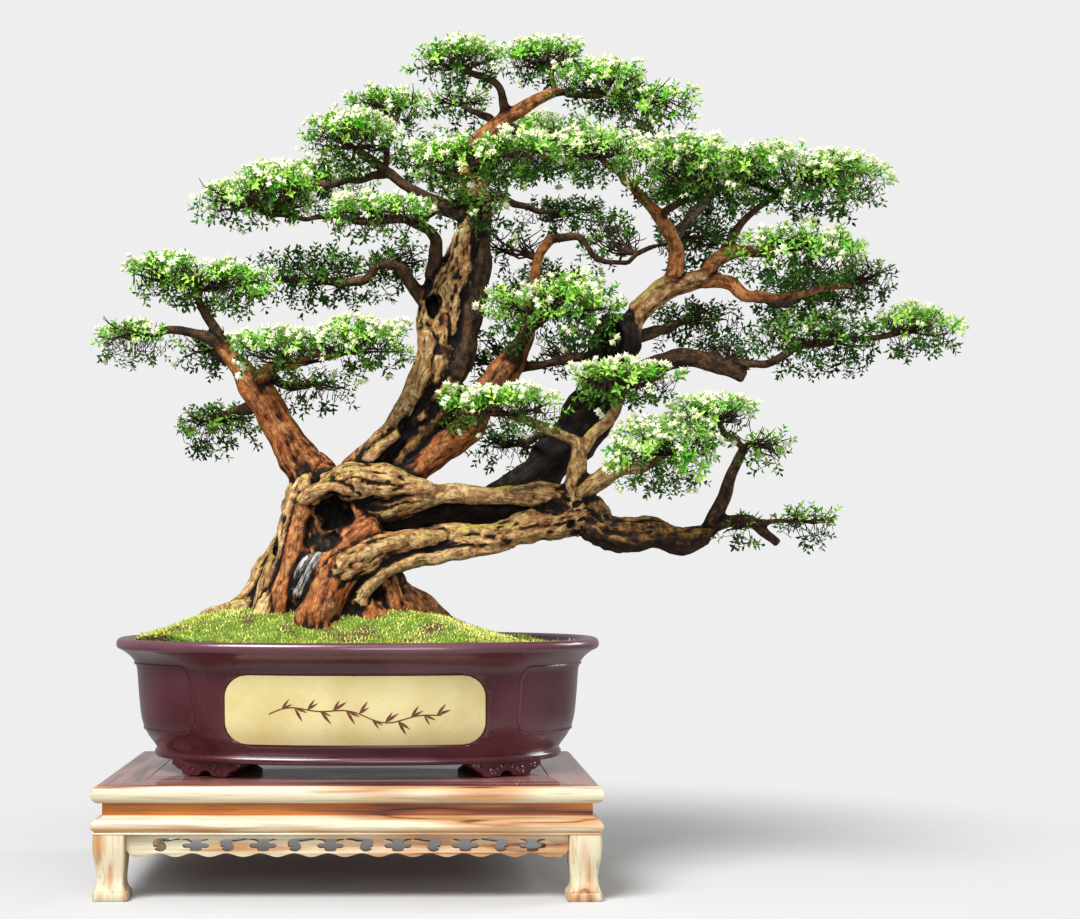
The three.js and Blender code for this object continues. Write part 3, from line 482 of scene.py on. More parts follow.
def oval_point(turn, inset, height):
    """A point of the pot's oval plan, in from the rim by inset."""
    c, s = math.cos(turn), math.sin(turn)
    x = (pot_half[0] - inset) * math.copysign(abs(c) ** (2 / oval_power), c)
    y = (pot_half[1] - inset) * math.copysign(abs(s) ** (2 / oval_power), s)
    return x, y, height


def run_along(points):
    """How far along a line each of its points lies."""
    return np.concatenate([[0], np.cumsum(np.linalg.norm(np.diff(points, axis=0), axis=1))])


def even_turns(count):
    """Angles that step evenly round the rim, finer than the oval's own angle at its four ends."""
    fine = np.linspace(0, 2 * math.pi, 4001)
    run = run_along(np.array([oval_point(t, 0, 0)[:2] for t in fine]))
    return np.interp(np.linspace(0, run[-1], count, endpoint=False), run, fine)


def glaze():
    """Plum-brown glaze with a painted grey lilac sheen towards the lip, over the clay's slight unevenness."""
    material, tree = new_material("plum_brown_glaze", Coat_Weight=0.6, Coat_Roughness=0.12, Coat_IOR=1.5)
    where = spot(tree)
    cloud = clouds(tree, where, 7.0, 5.0)
    base = blended(tree, ranged(tree, cloud, 0.35, 0.68), "42121B", "552A34")
    # Painted sheen: grey lilac laid over the lip and the top of the wall.
    thin = times(tree, ranged(tree, upward(tree, where), 0.335, 0.38), 0.45)
    flecks = times(tree, ranged(tree, clouds(tree, where, 420.0), 0.64, 0.76), 0.25)
    colour = blended(tree, flecks, blended(tree, thin, base, "7A5462"), "9A7C80")
    return dressed(material, colour, ranged(tree, cloud, 0.3, 0.7, 0.26, 0.42),
                   (0.3, 0.0015, clouds(tree, where, 26.0)))


pot_glaze = glaze()
pot_turns = even_turns(around)
pot_points = [place(*oval_point(t, inset, body_bottom + height))
              for inset, height in pot_wall for t in pot_turns]
pot = make_piece("pot_body", pot_points, ring_faces(len(pot_wall), around), [pot_glaze], crease=50)


def wall_at(height):
    """How far in from the rim the outer wall stands at a height."""
    outer = pot_wall[5:29]
    return float(np.interp(height - body_bottom, [h for _, h in outer], [i for i, _ in outer]))


def on_front(x, height, proud):
    """A point on the pot's front wall, standing proud of it by so many millimetres."""
    inset = wall_at(height) - proud
    a, b = pot_half[0] - inset, pot_half[1] - inset
    return x, -b * (1 - abs(x / a) ** oval_power) ** (1 / oval_power), height


def keep_shape(piece):
    """The piece's mesh takes the shape that its modifiers give, and the modifiers go."""
    mesh = as_shown(piece)
    piece.modifiers.clear()
    old = piece.data
    piece.data = mesh
    if old.users == 0:
        bpy.data.meshes.remove(old)


def reshape(piece, kind, **settings):
    """Runs one modifier on the piece and keeps what it makes."""
    made = piece.modifiers.new(kind.lower(), kind)
    for key, value in settings.items():
        setattr(made, key, value)
    keep_shape(piece)


def cut(piece, cutter):
    """A boolean, made with the exact-manifold solver and kept as plain mesh. The cutter goes."""
    reshape(piece, "BOOLEAN", operation="DIFFERENCE", solver="MANIFOLD", object=cutter)
    bpy.data.objects.remove(cutter)


plaque_middle = body_bottom + 84
plaque_half = (195, 52.5)
plaque_corner = 34


def plaque_slab(name, grow, front, back, materials):
    """A slab with rounded ends that follows the pot's front, grown all round by so many millimetres."""
    half_x, half_z, corner = plaque_half[0] + grow, plaque_half[1] + grow, plaque_corner + grow
    straight = half_x - corner
    ends = [straight + corner * math.sin(math.radians(a)) for a in (18, 34, 50, 64, 78, 90)]
    columns = [-e for e in reversed(ends)] + list(np.linspace(-straight, straight, 31)) + ends
    rows = 8
    points = []
    for proud in (front, back):
        for x in columns:
            over = max(0.0, abs(x) - straight)
            top = half_z - corner + math.sqrt(max(0.0, corner**2 - over**2))
            for i in range(rows + 1):
                z = plaque_middle + top * (2 * i / rows - 1)
                points.append(place(*on_front(x, z, proud)))
    line = rows + 1
    sheet = len(columns) * line
    faces = []
    for c in range(len(columns) - 1):
        for r in range(rows):
            a = c * line + r
            quad = [a, a + 1, a + line + 1, a + line]
            faces.append(quad)
            faces.append([v + sheet for v in reversed(quad)])
    rim_line = [c * line for c in range(len(columns))]
    rim_line += [(len(columns) - 1) * line + r for r in range(1, line)]
    rim_line += [c * line + rows for c in reversed(range(len(columns) - 1))]
    rim_line += [r for r in reversed(range(1, rows))]
    for i, a in enumerate(rim_line):
        b = rim_line[(i + 1) % len(rim_line)]
        faces.append([a, b, b + sheet, a + sheet])
    return make_piece(name, points, faces, materials, crease=40)


cut(pot, plaque_slab("pocket", 0.4, 8, -3.4, [pot_glaze]))


def tube(path, radius, sides=6, closed=False):
    """Points and faces of a round cord along a path, in millimetres."""
    path = [Vector(p) for p in path]
    radii = radius if isinstance(radius, (list, tuple)) else [radius] * len(path)
    across = Vector((0.3, -1, 0.2))
    points = []
    for i, point in enumerate(path):
        before = path[i - 1] if i or closed else path[0]
        after = path[(i + 1) % len(path)] if i < len(path) - 1 or closed else path[-1]
        way = (after - before).normalized()
        across = (across - across.dot(way) * way).normalized()
        beside = across.cross(way)
        points += [point + radii[i] * (math.cos(a) * across + math.sin(a) * beside)
                   for a in (2 * math.pi * k / sides for k in range(sides))]
    faces = ring_faces(len(path), sides, capped=not closed)
    if closed:
        last = (len(path) - 1) * sides
        faces += [[last + k, last + (k + 1) % sides, (k + 1) % sides, k] for k in range(sides)]
    return points, faces


def joined(parts):
    """Several lots of points and faces as one."""
    points, faces = [], []
    for more_points, more_faces in parts:
        start = len(points)
        points += list(more_points)
        faces += [[v + start for v in face] for face in more_faces]
    return points, faces


def end_panel(facing):
    """The bead that frames the plain panel round one end of the pot."""
    low, high, corner, reach = 236, 338, 20, 0.83
    run = np.linspace(-reach, reach, 61)
    path = []
    for t, z in [(t, high) for t in run] + [(t, low) for t in reversed(run)]:
        edge = min(abs(t - run[0]), abs(t - run[-1])) * 300
        if edge < corner:
            drop = corner - math.sqrt(max(0.0, corner**2 - (corner - edge) ** 2))
            z += -drop if z == high else drop
        x, y, _ = oval_point(t, wall_at(z) + 0.2, z)
        path.append((facing * x, y, z))
    points, faces = tube(path, 2.3, sides=6, closed=True)
    return [place(*p) for p in points], faces


def foot_bracket(sx, sy):
    """One foot: a lobed bracket with scrolls in relief on its face."""
    base, top = pot_bottom - body_bottom, 5
    half = [(0, base + 9), (7, base + 7), (12, base + 1), (20, base), (34, base), (40, base + 2),
            (43, base + 8), (50, base + 10), (55, base + 14), (60, base + 17), (59, top)]
    line = [(-a, z) for a, z in reversed(half[1:])] + half
    outward = Vector((0.4 * sx, 0.92 * sy, 0)).normalized()
    aside = Vector((-outward.y, outward.x, 0))
    root = Vector((sx * 218, sy * 110, body_bottom))

    def at(along, up, out):
        return root + outward * out + aside * along + Vector((0, 0, up))

    layers = [(0, 1), (26, 1), (28.6, 0.985), (30, 0.95)]
    points = [at(a * share, top + (z - top) * share if z < top else z, out)
              for out, share in layers for a, z in line]
    lots = [(points, ring_faces(len(layers), len(line)))]
    scrolls = (((23, base + 9), 7.2, 1.5), ((45, base + 15.6), 4.6, 1.3), ((7, base + 15), 4, 1.2))
    steps = 26
    for hand in (-1, 1):
        for centre, reach, turns in scrolls:
            spiral = []
            for i in range(steps + 1):
                swing = 2 * math.pi * turns * i / steps
                spread = reach * (1 - 0.82 * i / steps)
                spiral.append(at(hand * (centre[0] - spread * math.cos(swing)),
                                 centre[1] + spread * math.sin(swing), 30))
            lots.append(tube(spiral, [1.9 - 0.9 * i / steps for i in range(steps + 1)], sides=6))
    points, faces = joined(lots)
    return [place(*p) for p in points], faces


trim = make_piece("pot_trim", *joined(
    [end_panel(1), end_panel(-1)] + [foot_bracket(sx, sy) for sx in (-1, 1) for sy in (-1, 1)]),
    [pot_glaze], crease=40)
bpy.ops.object.select_all(action="DESELECT")
trim.select_set(True)
pot.select_set(True)
bpy.context.view_layer.objects.active = pot
bpy.ops.object.join()
settle(pot, "pot_glaze", "pot")

# A slab of cream clay is let into the front of the pot. A sprig of slender leaves is scratched into
# it and filled with brown slip.
slip, slip_tree = new_material("brown_slip", Roughness=0.5)
dressed(slip, blended(slip_tree, clouds(slip_tree, spot(slip_tree), 300.0), "3A1E10", "7A4A22"))


def cream_clay():
    material, tree = new_material("cream_clay", Coat_Weight=0.25, Coat_Roughness=0.25)
    where = spot(tree)
    cloud = clouds(tree, where, 16.0, 4.0)
    base = blended(tree, ranged(tree, cloud, 0.3, 0.7), "CBBF90", "BFB07A")
    specks = times(tree, ranged(tree, clouds(tree, where, 500.0, 1.0), 0.66, 0.76), 0.5)
    return dressed(material, blended(tree, specks, base, "A07C40"), ranged(tree, cloud, 0.3, 0.7, 0.4, 0.55),
                   (0.2, 0.0008, cloud))


plaque = plaque_slab("clay_plaque", 0, 1, -3, [cream_clay()])
reshape(plaque, "BEVEL", width=0.0009, segments=2, limit_method="ANGLE")
settle(plaque, "plaque_clay", "pot_plaque")


def scratched(points, thickness=0.5):
    """A flat outline of [x, height] points laid on the plaque's face, just proud of it."""
    count = len(points)
    front = [place(*on_front(x, z, 1 + 0.35)) for x, z in points]
    back = [place(*on_front(x, z, 1 - thickness)) for x, z in points]
    faces = [list(range(count)), list(range(count, 2 * count))]
    faces += [[i, (i + 1) % count, count + (i + 1) % count, count + i] for i in range(count)]
    return front + back, faces


def slim_leaf(x, z, lean, length):
    """A slender pointed leaf from its foot, leaning so many degrees from the level."""
    way = Vector((math.cos(math.radians(lean)), math.sin(math.radians(lean))))
    side = Vector((-way.y, way.x))
    shape = [(0, 0), (0.2, 0.06), (0.45, 0.1), (0.75, 0.06), (1, 0), (0.75, -0.05), (0.45, -0.085),
             (0.2, -0.05)]
    return scratched([tuple(Vector((x, z)) + way * u * length + side * v * length) for u, v in shape])


def sprig_mesh():
    stem = [(-128 + 256 * i / 40, plaque_middle - 5 + 9 * math.sin(i * 0.16) + 4 * math.sin(i * 0.41))
            for i in range(41)]
    width = 0.9
    lots = []
    for (x0, z0), (x1, z1) in zip(stem, stem[1:]):
        x1 += 0.3
        lots.append(scratched([(x0, z0 - width), (x1, z1 - width), (x1, z1 + width), (x0, z0 + width)]))
    draw = random.Random(4)
    for i in range(3, 40, 3):
        x, z = stem[i]
        up = 1 if (i // 3) % 2 else -1
        for k in range(2):
            lots.append(slim_leaf(x, z, up * (28 + 26 * k + draw.uniform(-8, 8)), draw.uniform(17, 26)))
    return joined(lots)


settle(make_piece("plaque_sprig", *sprig_mesh(), [slip], crease=20), "plaque_clay")

# Soil fills the pot to just under the lip and rises in a broad mound about the roots, so that they
# stand clear of the wet. It is loose and dark where it shows at the edge.
mound_centre = -60
mound_half = (235, 150)
soil_level = rim - 8
soil_rise = 52


def mound(x, y):
    """The height of the soil at a point of the plan."""
    broad = abs((x - mound_centre) / mound_half[0]) ** 6 + abs(y / mound_half[1]) ** 6
    rise = (soil_rise + 8) / (1 + broad)
    lumps = 5 * noise.noise(Vector((x, y, 0)) / 60) + 2.5 * noise.noise(Vector((x, y, 9)) / 22)
    return soil_level - 6 + rise + lumps


def soil_material():
    material, tree = new_material("dark_soil", Roughness=0.95)
    where = spot(tree)
    crumb = node(tree, "ShaderNodeTexVoronoi", None, {"Vector": where, "Scale": 190.0}).outputs[0]
    mossy = ranged(tree, clouds(tree, where, 22.0, 4.0), 0.3, 0.55)
    colour = blended(tree, mossy, blended(tree, crumb, "3A2A1C", "6B5438"), "5E7A26")
    return dressed(material, colour, None, (0.8, 0.003, crumb))


soil_rings = [0.04, 0.1, 0.16, 0.22, 0.28, 0.34, 0.4, 0.46, 0.52, 0.58, 0.64, 0.7, 0.76, 0.82, 0.88, 0.94, 1]
soil_points = []
for share in soil_rings:
    for x, y, _ in (oval_point(t, 29.5, 0) for t in pot_turns):
        soil_points.append(place(x * share, y * share, mound(x * share, y * share)))
soil_points += [place(*oval_point(t, 48, rim - 70)) for t in pot_turns]
soil_faces = ring_faces(len(soil_rings) + 1, around)
soil = make_piece("soil_fill", soil_points, soil_faces, [soil_material()], crease=60)
settle(soil, "moss_and_soil", "soil")

# Moss covers the mound in a fine bright pile, thick over the rise and thinning towards the lip.
# It grows as short tufts of pointed shoots.
moss_reach = 0.0062
moss_spacing = 0.0046


def moss_material():
    material, tree = new_material("bright_moss", Roughness=0.9)
    base = blended(tree, ranged(tree, clouds(tree, spot(tree), 14.0, 3.0), 0.35, 0.62), "BCC452", "E4E48C")
    older = ranged(tree, noted(tree, "tint"), 0.5, 1.0, 0.0, 0.85)
    return dressed(material, blended(tree, older, base, "68802A"))


def growing_tree(name, inputs):
    """An empty Geometry Nodes tree with a mesh in, a mesh out and its named inputs."""
    mesh_socket = ("Geometry", "NodeSocketGeometry", None)
    return new_tree(name, "GeometryNodeTree", [mesh_socket, *inputs], [mesh_socket])


def stretched(tree, vector, length):
    return node(tree, "ShaderNodeVectorMath", {"operation": "SCALE"}, {0: vector, "Scale": length}).outputs[0]


def chance(tree, low, high, seed):
    """A random number for each point."""
    return node(tree, "FunctionNodeRandomValue", {"data_type": "FLOAT"},
                {2: low, 3: high, 8: seed}).outputs[1]


def chance_way(tree, reach, seed):
    """A random direction for each point, each part within reach of zero."""
    return node(tree, "FunctionNodeRandomValue", {"data_type": "FLOAT_VECTOR"},
                {0: (-reach,) * 3, 1: (reach,) * 3, 8: seed}).outputs[0]


def set_on(tree, form, points, pointing, scale, material, seed, chosen=True):
    """Copies of a small form set on points, turned by chance about their own length, and made real."""
    spin = node(tree, "FunctionNodeAxisAngleToRotation", None,
                {"Axis": (0, 0, 1), "Angle": chance(tree, 0.0, 6.283, seed)}).outputs[0]
    aim = node(tree, "FunctionNodeAlignRotationToVector", {"axis": "Z"}, {"Vector": pointing}).outputs[0]
    rotation = node(tree, "FunctionNodeRotateRotation", {"rotation_space": "LOCAL"},
                    {"Rotation": aim, "Rotate By": spin}).outputs[0]
    copy = node(tree, "GeometryNodeObjectInfo", None, {"Object": form}).outputs["Geometry"]
    set_down = node(tree, "GeometryNodeInstanceOnPoints", None,
                    {"Points": points, "Instance": copy, "Rotation": rotation, "Scale": scale,
                     "Selection": chosen}).outputs[0]
    tint = chance(tree, 0.0, 1.0, seed + 1)
    tinted = node(tree, "GeometryNodeStoreNamedAttribute", {"data_type": "FLOAT", "domain": "INSTANCE"},
                  {"Geometry": set_down, "Name": "tint", "Value": tint}).outputs[0]
    real = node(tree, "GeometryNodeRealizeInstances", None, {"Geometry": tinted}).outputs[0]
    return node(tree, "GeometryNodeSetMaterial", None, {"Geometry": real, "Material": material}).outputs[0]


def scattered(tree, come, density, cover):
    """Points strewn over the mesh that comes in, no closer than its Spacing."""
    return node(tree, "GeometryNodeDistributePointsOnFaces", {"distribute_method": "POISSON"},
                {"Mesh": come.outputs["Geometry"], "Distance Min": come.outputs["Spacing"],
                 "Density Max": density, "Seed": come.outputs["Seed"], "Density Factor": cover}).outputs


def grown(name, base, tree, values):
    """What a Geometry Nodes tree grows on a base mesh, as a plain mesh piece. The base goes."""
    made = base.modifiers.new("growth", "NODES")
    made.node_group = tree
    for item in tree.interface.items_tree:
        if item.in_out == "INPUT" and item.name in values:
            made[item.identifier] = values[item.name]
    mesh = as_shown(base)
    bpy.data.objects.remove(base)
    return added(name, mesh)


def hidden_form(name, points, faces):
    """A small form that the trees copy. It isn't shown itself."""
    return bpy.data.objects.new(name, face_outward(bare_mesh(name, points, faces)))


def spike(way, foot, length, width):
    """A three-sided pointed shoot."""
    way = Vector(way).normalized()
    side = way.orthogonal().normalized()
    other = way.cross(side)
    ring = [Vector(foot) + width * (math.cos(a) * side + math.sin(a) * other) for a in (0, 2.094, 4.189)]
    return [*ring, Vector(foot) + way * length], [[0, 1, 2], [0, 1, 3], [1, 2, 3], [2, 0, 3]]


moss_tuft = hidden_form("moss_tuft", *joined(
    [spike((0.6 * math.cos(a), 0.6 * math.sin(a), 1), (0.0012 * math.cos(a), 0.0012 * math.sin(a), -0.002),
           moss_reach, 0.0016) for a in (0.2, 2.3, 4.4)]))


def moss_tree(material):
    tree, come, go = growing_tree("moss", [
        ("Spacing", "NodeSocketFloat", 0.004), ("Seed", "NodeSocketInt", 1),
        ("Tuft", "NodeSocketObject", None)])
    where = node(tree, "GeometryNodeInputPosition").outputs[0]
    level = soil_level / 1000
    cover = maths(tree, "ADD", ranged(tree, upward(tree, where), level - 0.002, level + 0.012, 0.1, 0.8),
                  ranged(tree, clouds(tree, where, 26.0), 0.35, 0.6, -0.1, 0.45), clamp=True)
    rise = upward(tree, node(tree, "GeometryNodeInputNormal").outputs[0])
    spread = scattered(tree, come, 60000.0, times(tree, cover, maths(tree, "GREATER_THAN", rise, 0.3)))
    pointing = vectors(tree, "ADD", spread["Normal"], chance_way(tree, 0.5, 5))
    size = chance(tree, 0.6, 1.35, 7)
    pile = set_on(tree, come.outputs["Tuft"], spread["Points"], pointing, size, material, 11)
    tree.links.new(pile, go.inputs["Geometry"])
    return tree


moss = grown("moss_pile", added("bare_soil", soil.data.copy()), moss_tree(moss_material()),
             {"Spacing": moss_spacing, "Seed": 3, "Tuft": moss_tuft})
settle(moss, "moss_and_soil")

# The tree is one grown piece, from the roots to the tips of its branches. It is hollow with age: the
# live wood runs in strands round the rotted heart. Each limb is a line of [x, y, height, radius].
# The shade tone is painted shade: near black on the limbs and the hollow's back wall that lie in shadow. The
# dark tone is partly painted shade.
limbs = {
    "base": ("red", [(-30, 0, 320, 128), (-35, 0, 405, 122), (-40, 0, 460, 102), (-35, 5, 525, 88),
        (-30, 10, 590, 80), (-20, 12, 645, 55)]),
    "left_limb": ("red", [(-45, 0, 590, 51), (-80, -5, 645, 37), (-105, -8, 680, 30), (-125, -10, 715, 26),
        (-155, -10, 760, 24), (-175, -10, 790, 22), (-200, -10, 820, 14), (-220, -10, 845, 11)]),
    "front_strand": ("old", [(-10, -15, 620, 36), (40, -18, 692, 19), (75, -18, 742, 15),
        (100, -14, 795, 17), (115, -8, 860, 21)]),
    "right_strand": ("red", [(40, 0, 595, 38), (90, -10, 645, 27), (135, -10, 680, 26), (175, -4, 710, 24),
        (200, 10, 755, 26), (230, 20, 800, 26), (255, 25, 830, 19), (275, 30, 880, 13), (285, 30, 935, 9.5),
        (290, 30, 990, 8), (315, 30, 1025, 8)]),
    "strand_bridge": ("shade", [(65, 38, 660, 29), (120, 38, 725, 29), (170, 36, 785, 24)]),
    "back_limb": ("shade", [(120, 50, 575, 33), (205, 50, 588, 31), (262, 48, 614, 32), (305, 45, 652, 35),
        (346, 42, 697, 40), (383, 36, 757, 41), (404, 32, 805, 40), (415, 30, 850, 39),
        (415, 28, 895, 31)]),
    "back_limb_top": ("old", [(425, 28, 840, 19), (445, 24, 890, 19), (475, 20, 925, 18),
        (515, 20, 945, 19), (555, 20, 955, 16)]),
    "upper_ridge": ("old", [(-10, -20, 585, 41), (60, -34, 595, 29), (110, -40, 603, 20),
        (160, -45, 604, 16), (215, -48, 603, 15), (275, -50, 604, 18), (325, -50, 598, 27)]),
    "lower_ridge": ("old", [(-45, -78, 345, 47), (-50, -76, 415, 39), (-35, -70, 470, 34),
        (15, -62, 506, 33), (80, -55, 516, 31), (150, -50, 529, 27), (225, -50, 539, 24),
        (300, -50, 557, 27), (340, -50, 575, 35)]),
    "hollow_back": ("shade", [(5, 15, 565, 55), (120, 18, 570, 39), (230, 5, 580, 32),
        (330, -18, 585, 29)]),
    "low_limb": ("dark", [(320, -50, 580, 31), (360, -50, 570, 31), (390, -50, 545, 30),
        (430, -50, 540, 28), (470, -50, 540, 25), (510, -50, 530, 22), (550, -50, 540, 17)]),
    "low_limb_rise": ("twig", [(550, -50, 540, 14), (610, -50, 675, 7), (625, -48, 680, 5.5)]),
    "low_limb_end": ("twig", [(540, -50, 540, 13), (580, -55, 560, 10), (620, -60, 555, 9.5),
        (660, -60, 525, 8)]),
    "to_lowest": ("twig", [(615, -60, 555, 6.5), (700, -68, 560, 4)]),
    "to_front_right": ("old", [(330, -58, 590, 20), (400, -84, 640, 15), (435, -98, 645, 11.5),
        (470, -140, 660, 6)]),
    "to_front_left": ("old", [(340, -58, 595, 24), (345, -70, 670, 12), (320, -78, 695, 9.5),
        (230, -150, 720, 6)]),
    "to_front_middle": ("old", [(345, -68, 665, 11), (390, -72, 720, 11), (415, -120, 765, 6)]),
    "to_front_high": ("twig", [(610, -50, 675, 6.5), (545, -140, 710, 5.5)]),
    "to_front_under": ("twig", [(300, -80, 700, 6), (260, 90, 690, 6)]),
    "to_heart_right": ("red", [(510, 20, 945, 16), (505, 8, 1020, 13), (450, -24, 1075, 8.5),
        (375, -120, 1115, 5.5)]),
    "to_east_high": ("twig", [(485, -4, 1050, 8), (525, -45, 1090, 5.5)]),
    "to_east_middle": ("red", [(555, 20, 955, 14), (575, 12, 980, 14), (610, 0, 995, 10.5),
        (700, -50, 990, 5.5)]),
    "to_east_crown": ("twig", [(580, 12, 980, 9.5), (615, 10, 1040, 7), (690, -45, 1100, 4.5)]),
    "to_east_shade": ("red", [(555, 20, 950, 14), (595, 10, 945, 13), (640, 0, 920, 9.5),
        (810, 90, 955, 6)]),
    "low_right_limb": ("twig", [(380, 48, 770, 24), (460, 56, 810, 17), (525, 50, 830, 16),
        (575, 42, 820, 15), (625, 30, 795, 11.5)]),
    "to_east_wide": ("twig", [(580, 42, 820, 9.5), (650, 24, 815, 7.5), (710, 4, 840, 6.5),
        (870, 8, 865, 5)]),
    "cross_twig": ("twig", [(260, 34, 810, 8), (350, 34, 825, 8), (395, 36, 810, 9.5)]),
    "to_east_dark": ("twig", [(315, 30, 1020, 8), (355, 30, 1020, 6.5), (390, 32, 990, 5.5),
        (430, 34, 985, 5), (480, 70, 1010, 5), (530, 90, 1030, 4)]),
    "to_west_low": ("twig", [(110, 5, 910, 14), (65, 16, 970, 9.5), (35, 34, 975, 8), (-10, 62, 955, 8),
        (-135, 110, 970, 5)]),
    "to_west_front": ("twig", [(120, 4, 950, 16), (125, -10, 995, 13), (115, -42, 1015, 9.5),
        (70, -92, 1030, 6)]),
    "to_west_crown": ("twig", [(175, 10, 1050, 16), (80, 4, 1095, 9), (-5, 0, 1160, 6.5)]),
    "to_west_tip": ("twig", [(135, 12, 1070, 8), (70, 44, 1050, 7.5), (-115, 24, 1055, 5.5),
        (-180, 20, 1070, 5)]),
    "to_west_upper": ("twig", [(40, 2, 1125, 6.5), (65, 100, 1245, 5)]),
    "to_apex_left": ("twig", [(240, 20, 1215, 9.5), (230, 8, 1245, 7), (205, -6, 1270, 6.5),
        (155, -20, 1280, 5)]),
    "to_apex": ("twig", [(320, 20, 1250, 6.5), (305, 60, 1315, 5)]),
    "to_apex_right": ("twig", [(335, 20, 1250, 6.5), (410, 0, 1245, 5)]),
    "to_apex_back": ("twig", [(225, 20, 1200, 8), (170, 120, 1260, 5)]),
    "to_heart_left": ("twig", [(190, 18, 1140, 14), (205, -130, 1115, 6)]),
    "to_knot_front": ("twig", [(185, 14, 1070, 13), (175, -60, 1055, 6.5)]),
    "to_inner_back": ("twig", [(185, 24, 1105, 11.5), (250, 90, 1090, 7.5), (340, 140, 1080, 5)]),
    "to_centre_front": ("twig", [(245, 22, 815, 15), (265, -30, 855, 9.5), (295, -105, 880, 7)]),
    "to_east_low": ("twig", [(430, 34, 855, 13), (555, 125, 900, 6)]),
    "to_left_tip": ("twig", [(-215, -10, 840, 11), (-280, -28, 865, 8), (-325, -38, 855, 5.5)]),
    "to_left_top": ("twig", [(-205, -10, 830, 9.5), (-245, -18, 905, 7), (-250, -20, 935, 5)]),
    "to_left_inner": ("twig", [(-190, -6, 815, 11), (-245, 56, 840, 5)]),
    "to_left_right": ("red", [(-160, -14, 775, 16), (-145, -26, 800, 11), (-90, -72, 810, 7),
        (-25, -90, 820, 5.5)]),
    "to_left_under": ("twig", [(-150, -14, 795, 9.5), (-115, 30, 785, 7.5), (-75, 58, 785, 5)]),
    "to_left_low": ("twig", [(-155, 0, 750, 13), (-235, 86, 730, 6)]),
    "to_crown_back_left": ("twig", [(185, 30, 1100, 15), (150, 208, 1165, 7)]),
    "to_crown_back_right": ("twig", [(225, 28, 1200, 11.5), (335, 205, 1215, 6)]),
    "to_east_back": ("twig", [(505, 16, 1015, 11.5), (600, 205, 1130, 7)]),
    "to_east_far_back": ("twig", [(640, 4, 920, 9.5), (700, 100, 925, 7.5), (755, 185, 950, 6)]),
    "to_west_back": ("twig", [(45, 6, 1120, 8), (-90, 182, 1135, 6)]),
    "to_centre_back": ("twig", [(275, 34, 880, 13), (315, 212, 960, 7)]),
    "main_trunk_foot": ("dark", [(35, 18, 645, 42), (80, 14, 710, 34), (120, 12, 780, 31),
        (135, 10, 845, 40)]),
    "main_trunk": ("old", [(120, 12, 780, 31), (135, 10, 845, 40), (145, 10, 910, 45), (165, 12, 965, 40),
        (180, 15, 1015, 31), (185, 18, 1060, 27), (185, 20, 1110, 21)]),
    "main_trunk_top": ("red", [(185, 18, 1060, 27), (185, 20, 1110, 21), (190, 20, 1160, 18),
        (230, 20, 1205, 13), (265, 20, 1225, 11.5), (305, 20, 1250, 8), (350, 20, 1255, 5.5)]),
    "root_left_long": ("old", [(-105, -30, 460, 41), (-165, -42, 430, 19), (-230, -50, 415, 11),
        (-280, -52, 370, 8)]),
    "root_left_back": ("old", [(-115, -10, 500, 38), (-170, 18, 440, 23), (-250, 60, 360, 11)]),
    "root_left_front": ("old", [(-110, -60, 450, 31), (-145, -80, 420, 17), (-160, -92, 355, 12)]),
    "root_back_left": ("old", [(-90, 40, 435, 39), (-155, 96, 415, 21), (-215, 130, 340, 13)]),
    "root_back": ("old", [(-30, 50, 435, 46), (-35, 100, 415, 26), (-50, 140, 340, 15)]),
    "root_right_long": ("red", [(25, 0, 475, 48), (60, 22, 440, 35), (130, 50, 415, 13),
        (170, 56, 360, 11)]),
    "root_right_front": ("red", [(30, -30, 470, 44), (45, -50, 435, 38), (65, -72, 350, 25)]),
    "root_front": ("old", [(-15, -50, 455, 35), (-5, -82, 420, 23), (0, -90, 350, 19)]),
    "root_back_right": ("old", [(45, 40, 445, 36), (80, 80, 415, 20), (110, 104, 360, 15)]),
    "undercut_lip": ("old", [(250, -58, 524, 7), (190, -64, 514, 11), (140, -74, 507, 13),
        (95, -84, 499, 13), (55, -96, 487, 13), (22, -102, 466, 13), (4, -101, 438, 15),
        (-5, -96, 404, 16)]),
    "front_root": ("old", [(160, -60, 541, 7), (115, -72, 533, 15), (70, -84, 525, 20), (16, -102, 505, 26),
        (-20, -112, 483, 30), (-42, -116, 452, 27)]),
    "inner_ridge": ("red", [(26, -70, 556, 22), (-4, -92, 531, 25), (-32, -104, 497, 26),
        (-56, -108, 454, 24), (-72, -104, 407, 21)]),
    "dead_strand_front": ("dead", [(-40, -92, 522, 9), (-60, -108, 498, 11), (-77, -110, 470, 11),
        (-90, -106, 444, 9)]),
    "dead_strand_left": ("dead", [(-66, -94, 510, 8), (-84, -98, 484, 9), (-98, -94, 456, 7)]),
    "dead_strand_right": ("dead", [(-5, -60, 547, 9), (-23, -82, 523, 9), (-44, -96, 495, 9),
        (-61, -102, 464, 8)]),
    "left_strand": ("old", [(-80, -30, 628, 18), (-92, -48, 594, 19), (-104, -56, 556, 20),
        (-114, -58, 519, 20), (-130, -62, 481, 20), (-143, -66, 444, 19), (-155, -66, 406, 19)]),
    "left_outer": ("old", [(-88, 0, 640, 20), (-96, -16, 600, 19), (-106, -24, 548, 19),
        (-126, -28, 516, 20), (-142, -34, 488, 18), (-160, -36, 459, 16), (-186, -40, 427, 14)]),
    "left_middle": ("red", [(-77, -56, 603, 14), (-89, -70, 562, 15), (-98, -76, 523, 15),
        (-107, -80, 484, 15), (-117, -82, 444, 18), (-123, -82, 400, 20)]),
    "hollow_brow": ("old", [(-92, -58, 566, 10), (-86, -64, 588, 12), (-70, -76, 603, 13),
        (-42, -84, 611, 12), (-14, -82, 609, 9), (8, -74, 600, 6)]),
    "right_buttress": ("red", [(22, -30, 506, 38), (30, -36, 475, 37), (44, -40, 440, 41),
        (64, -44, 399, 47)]),
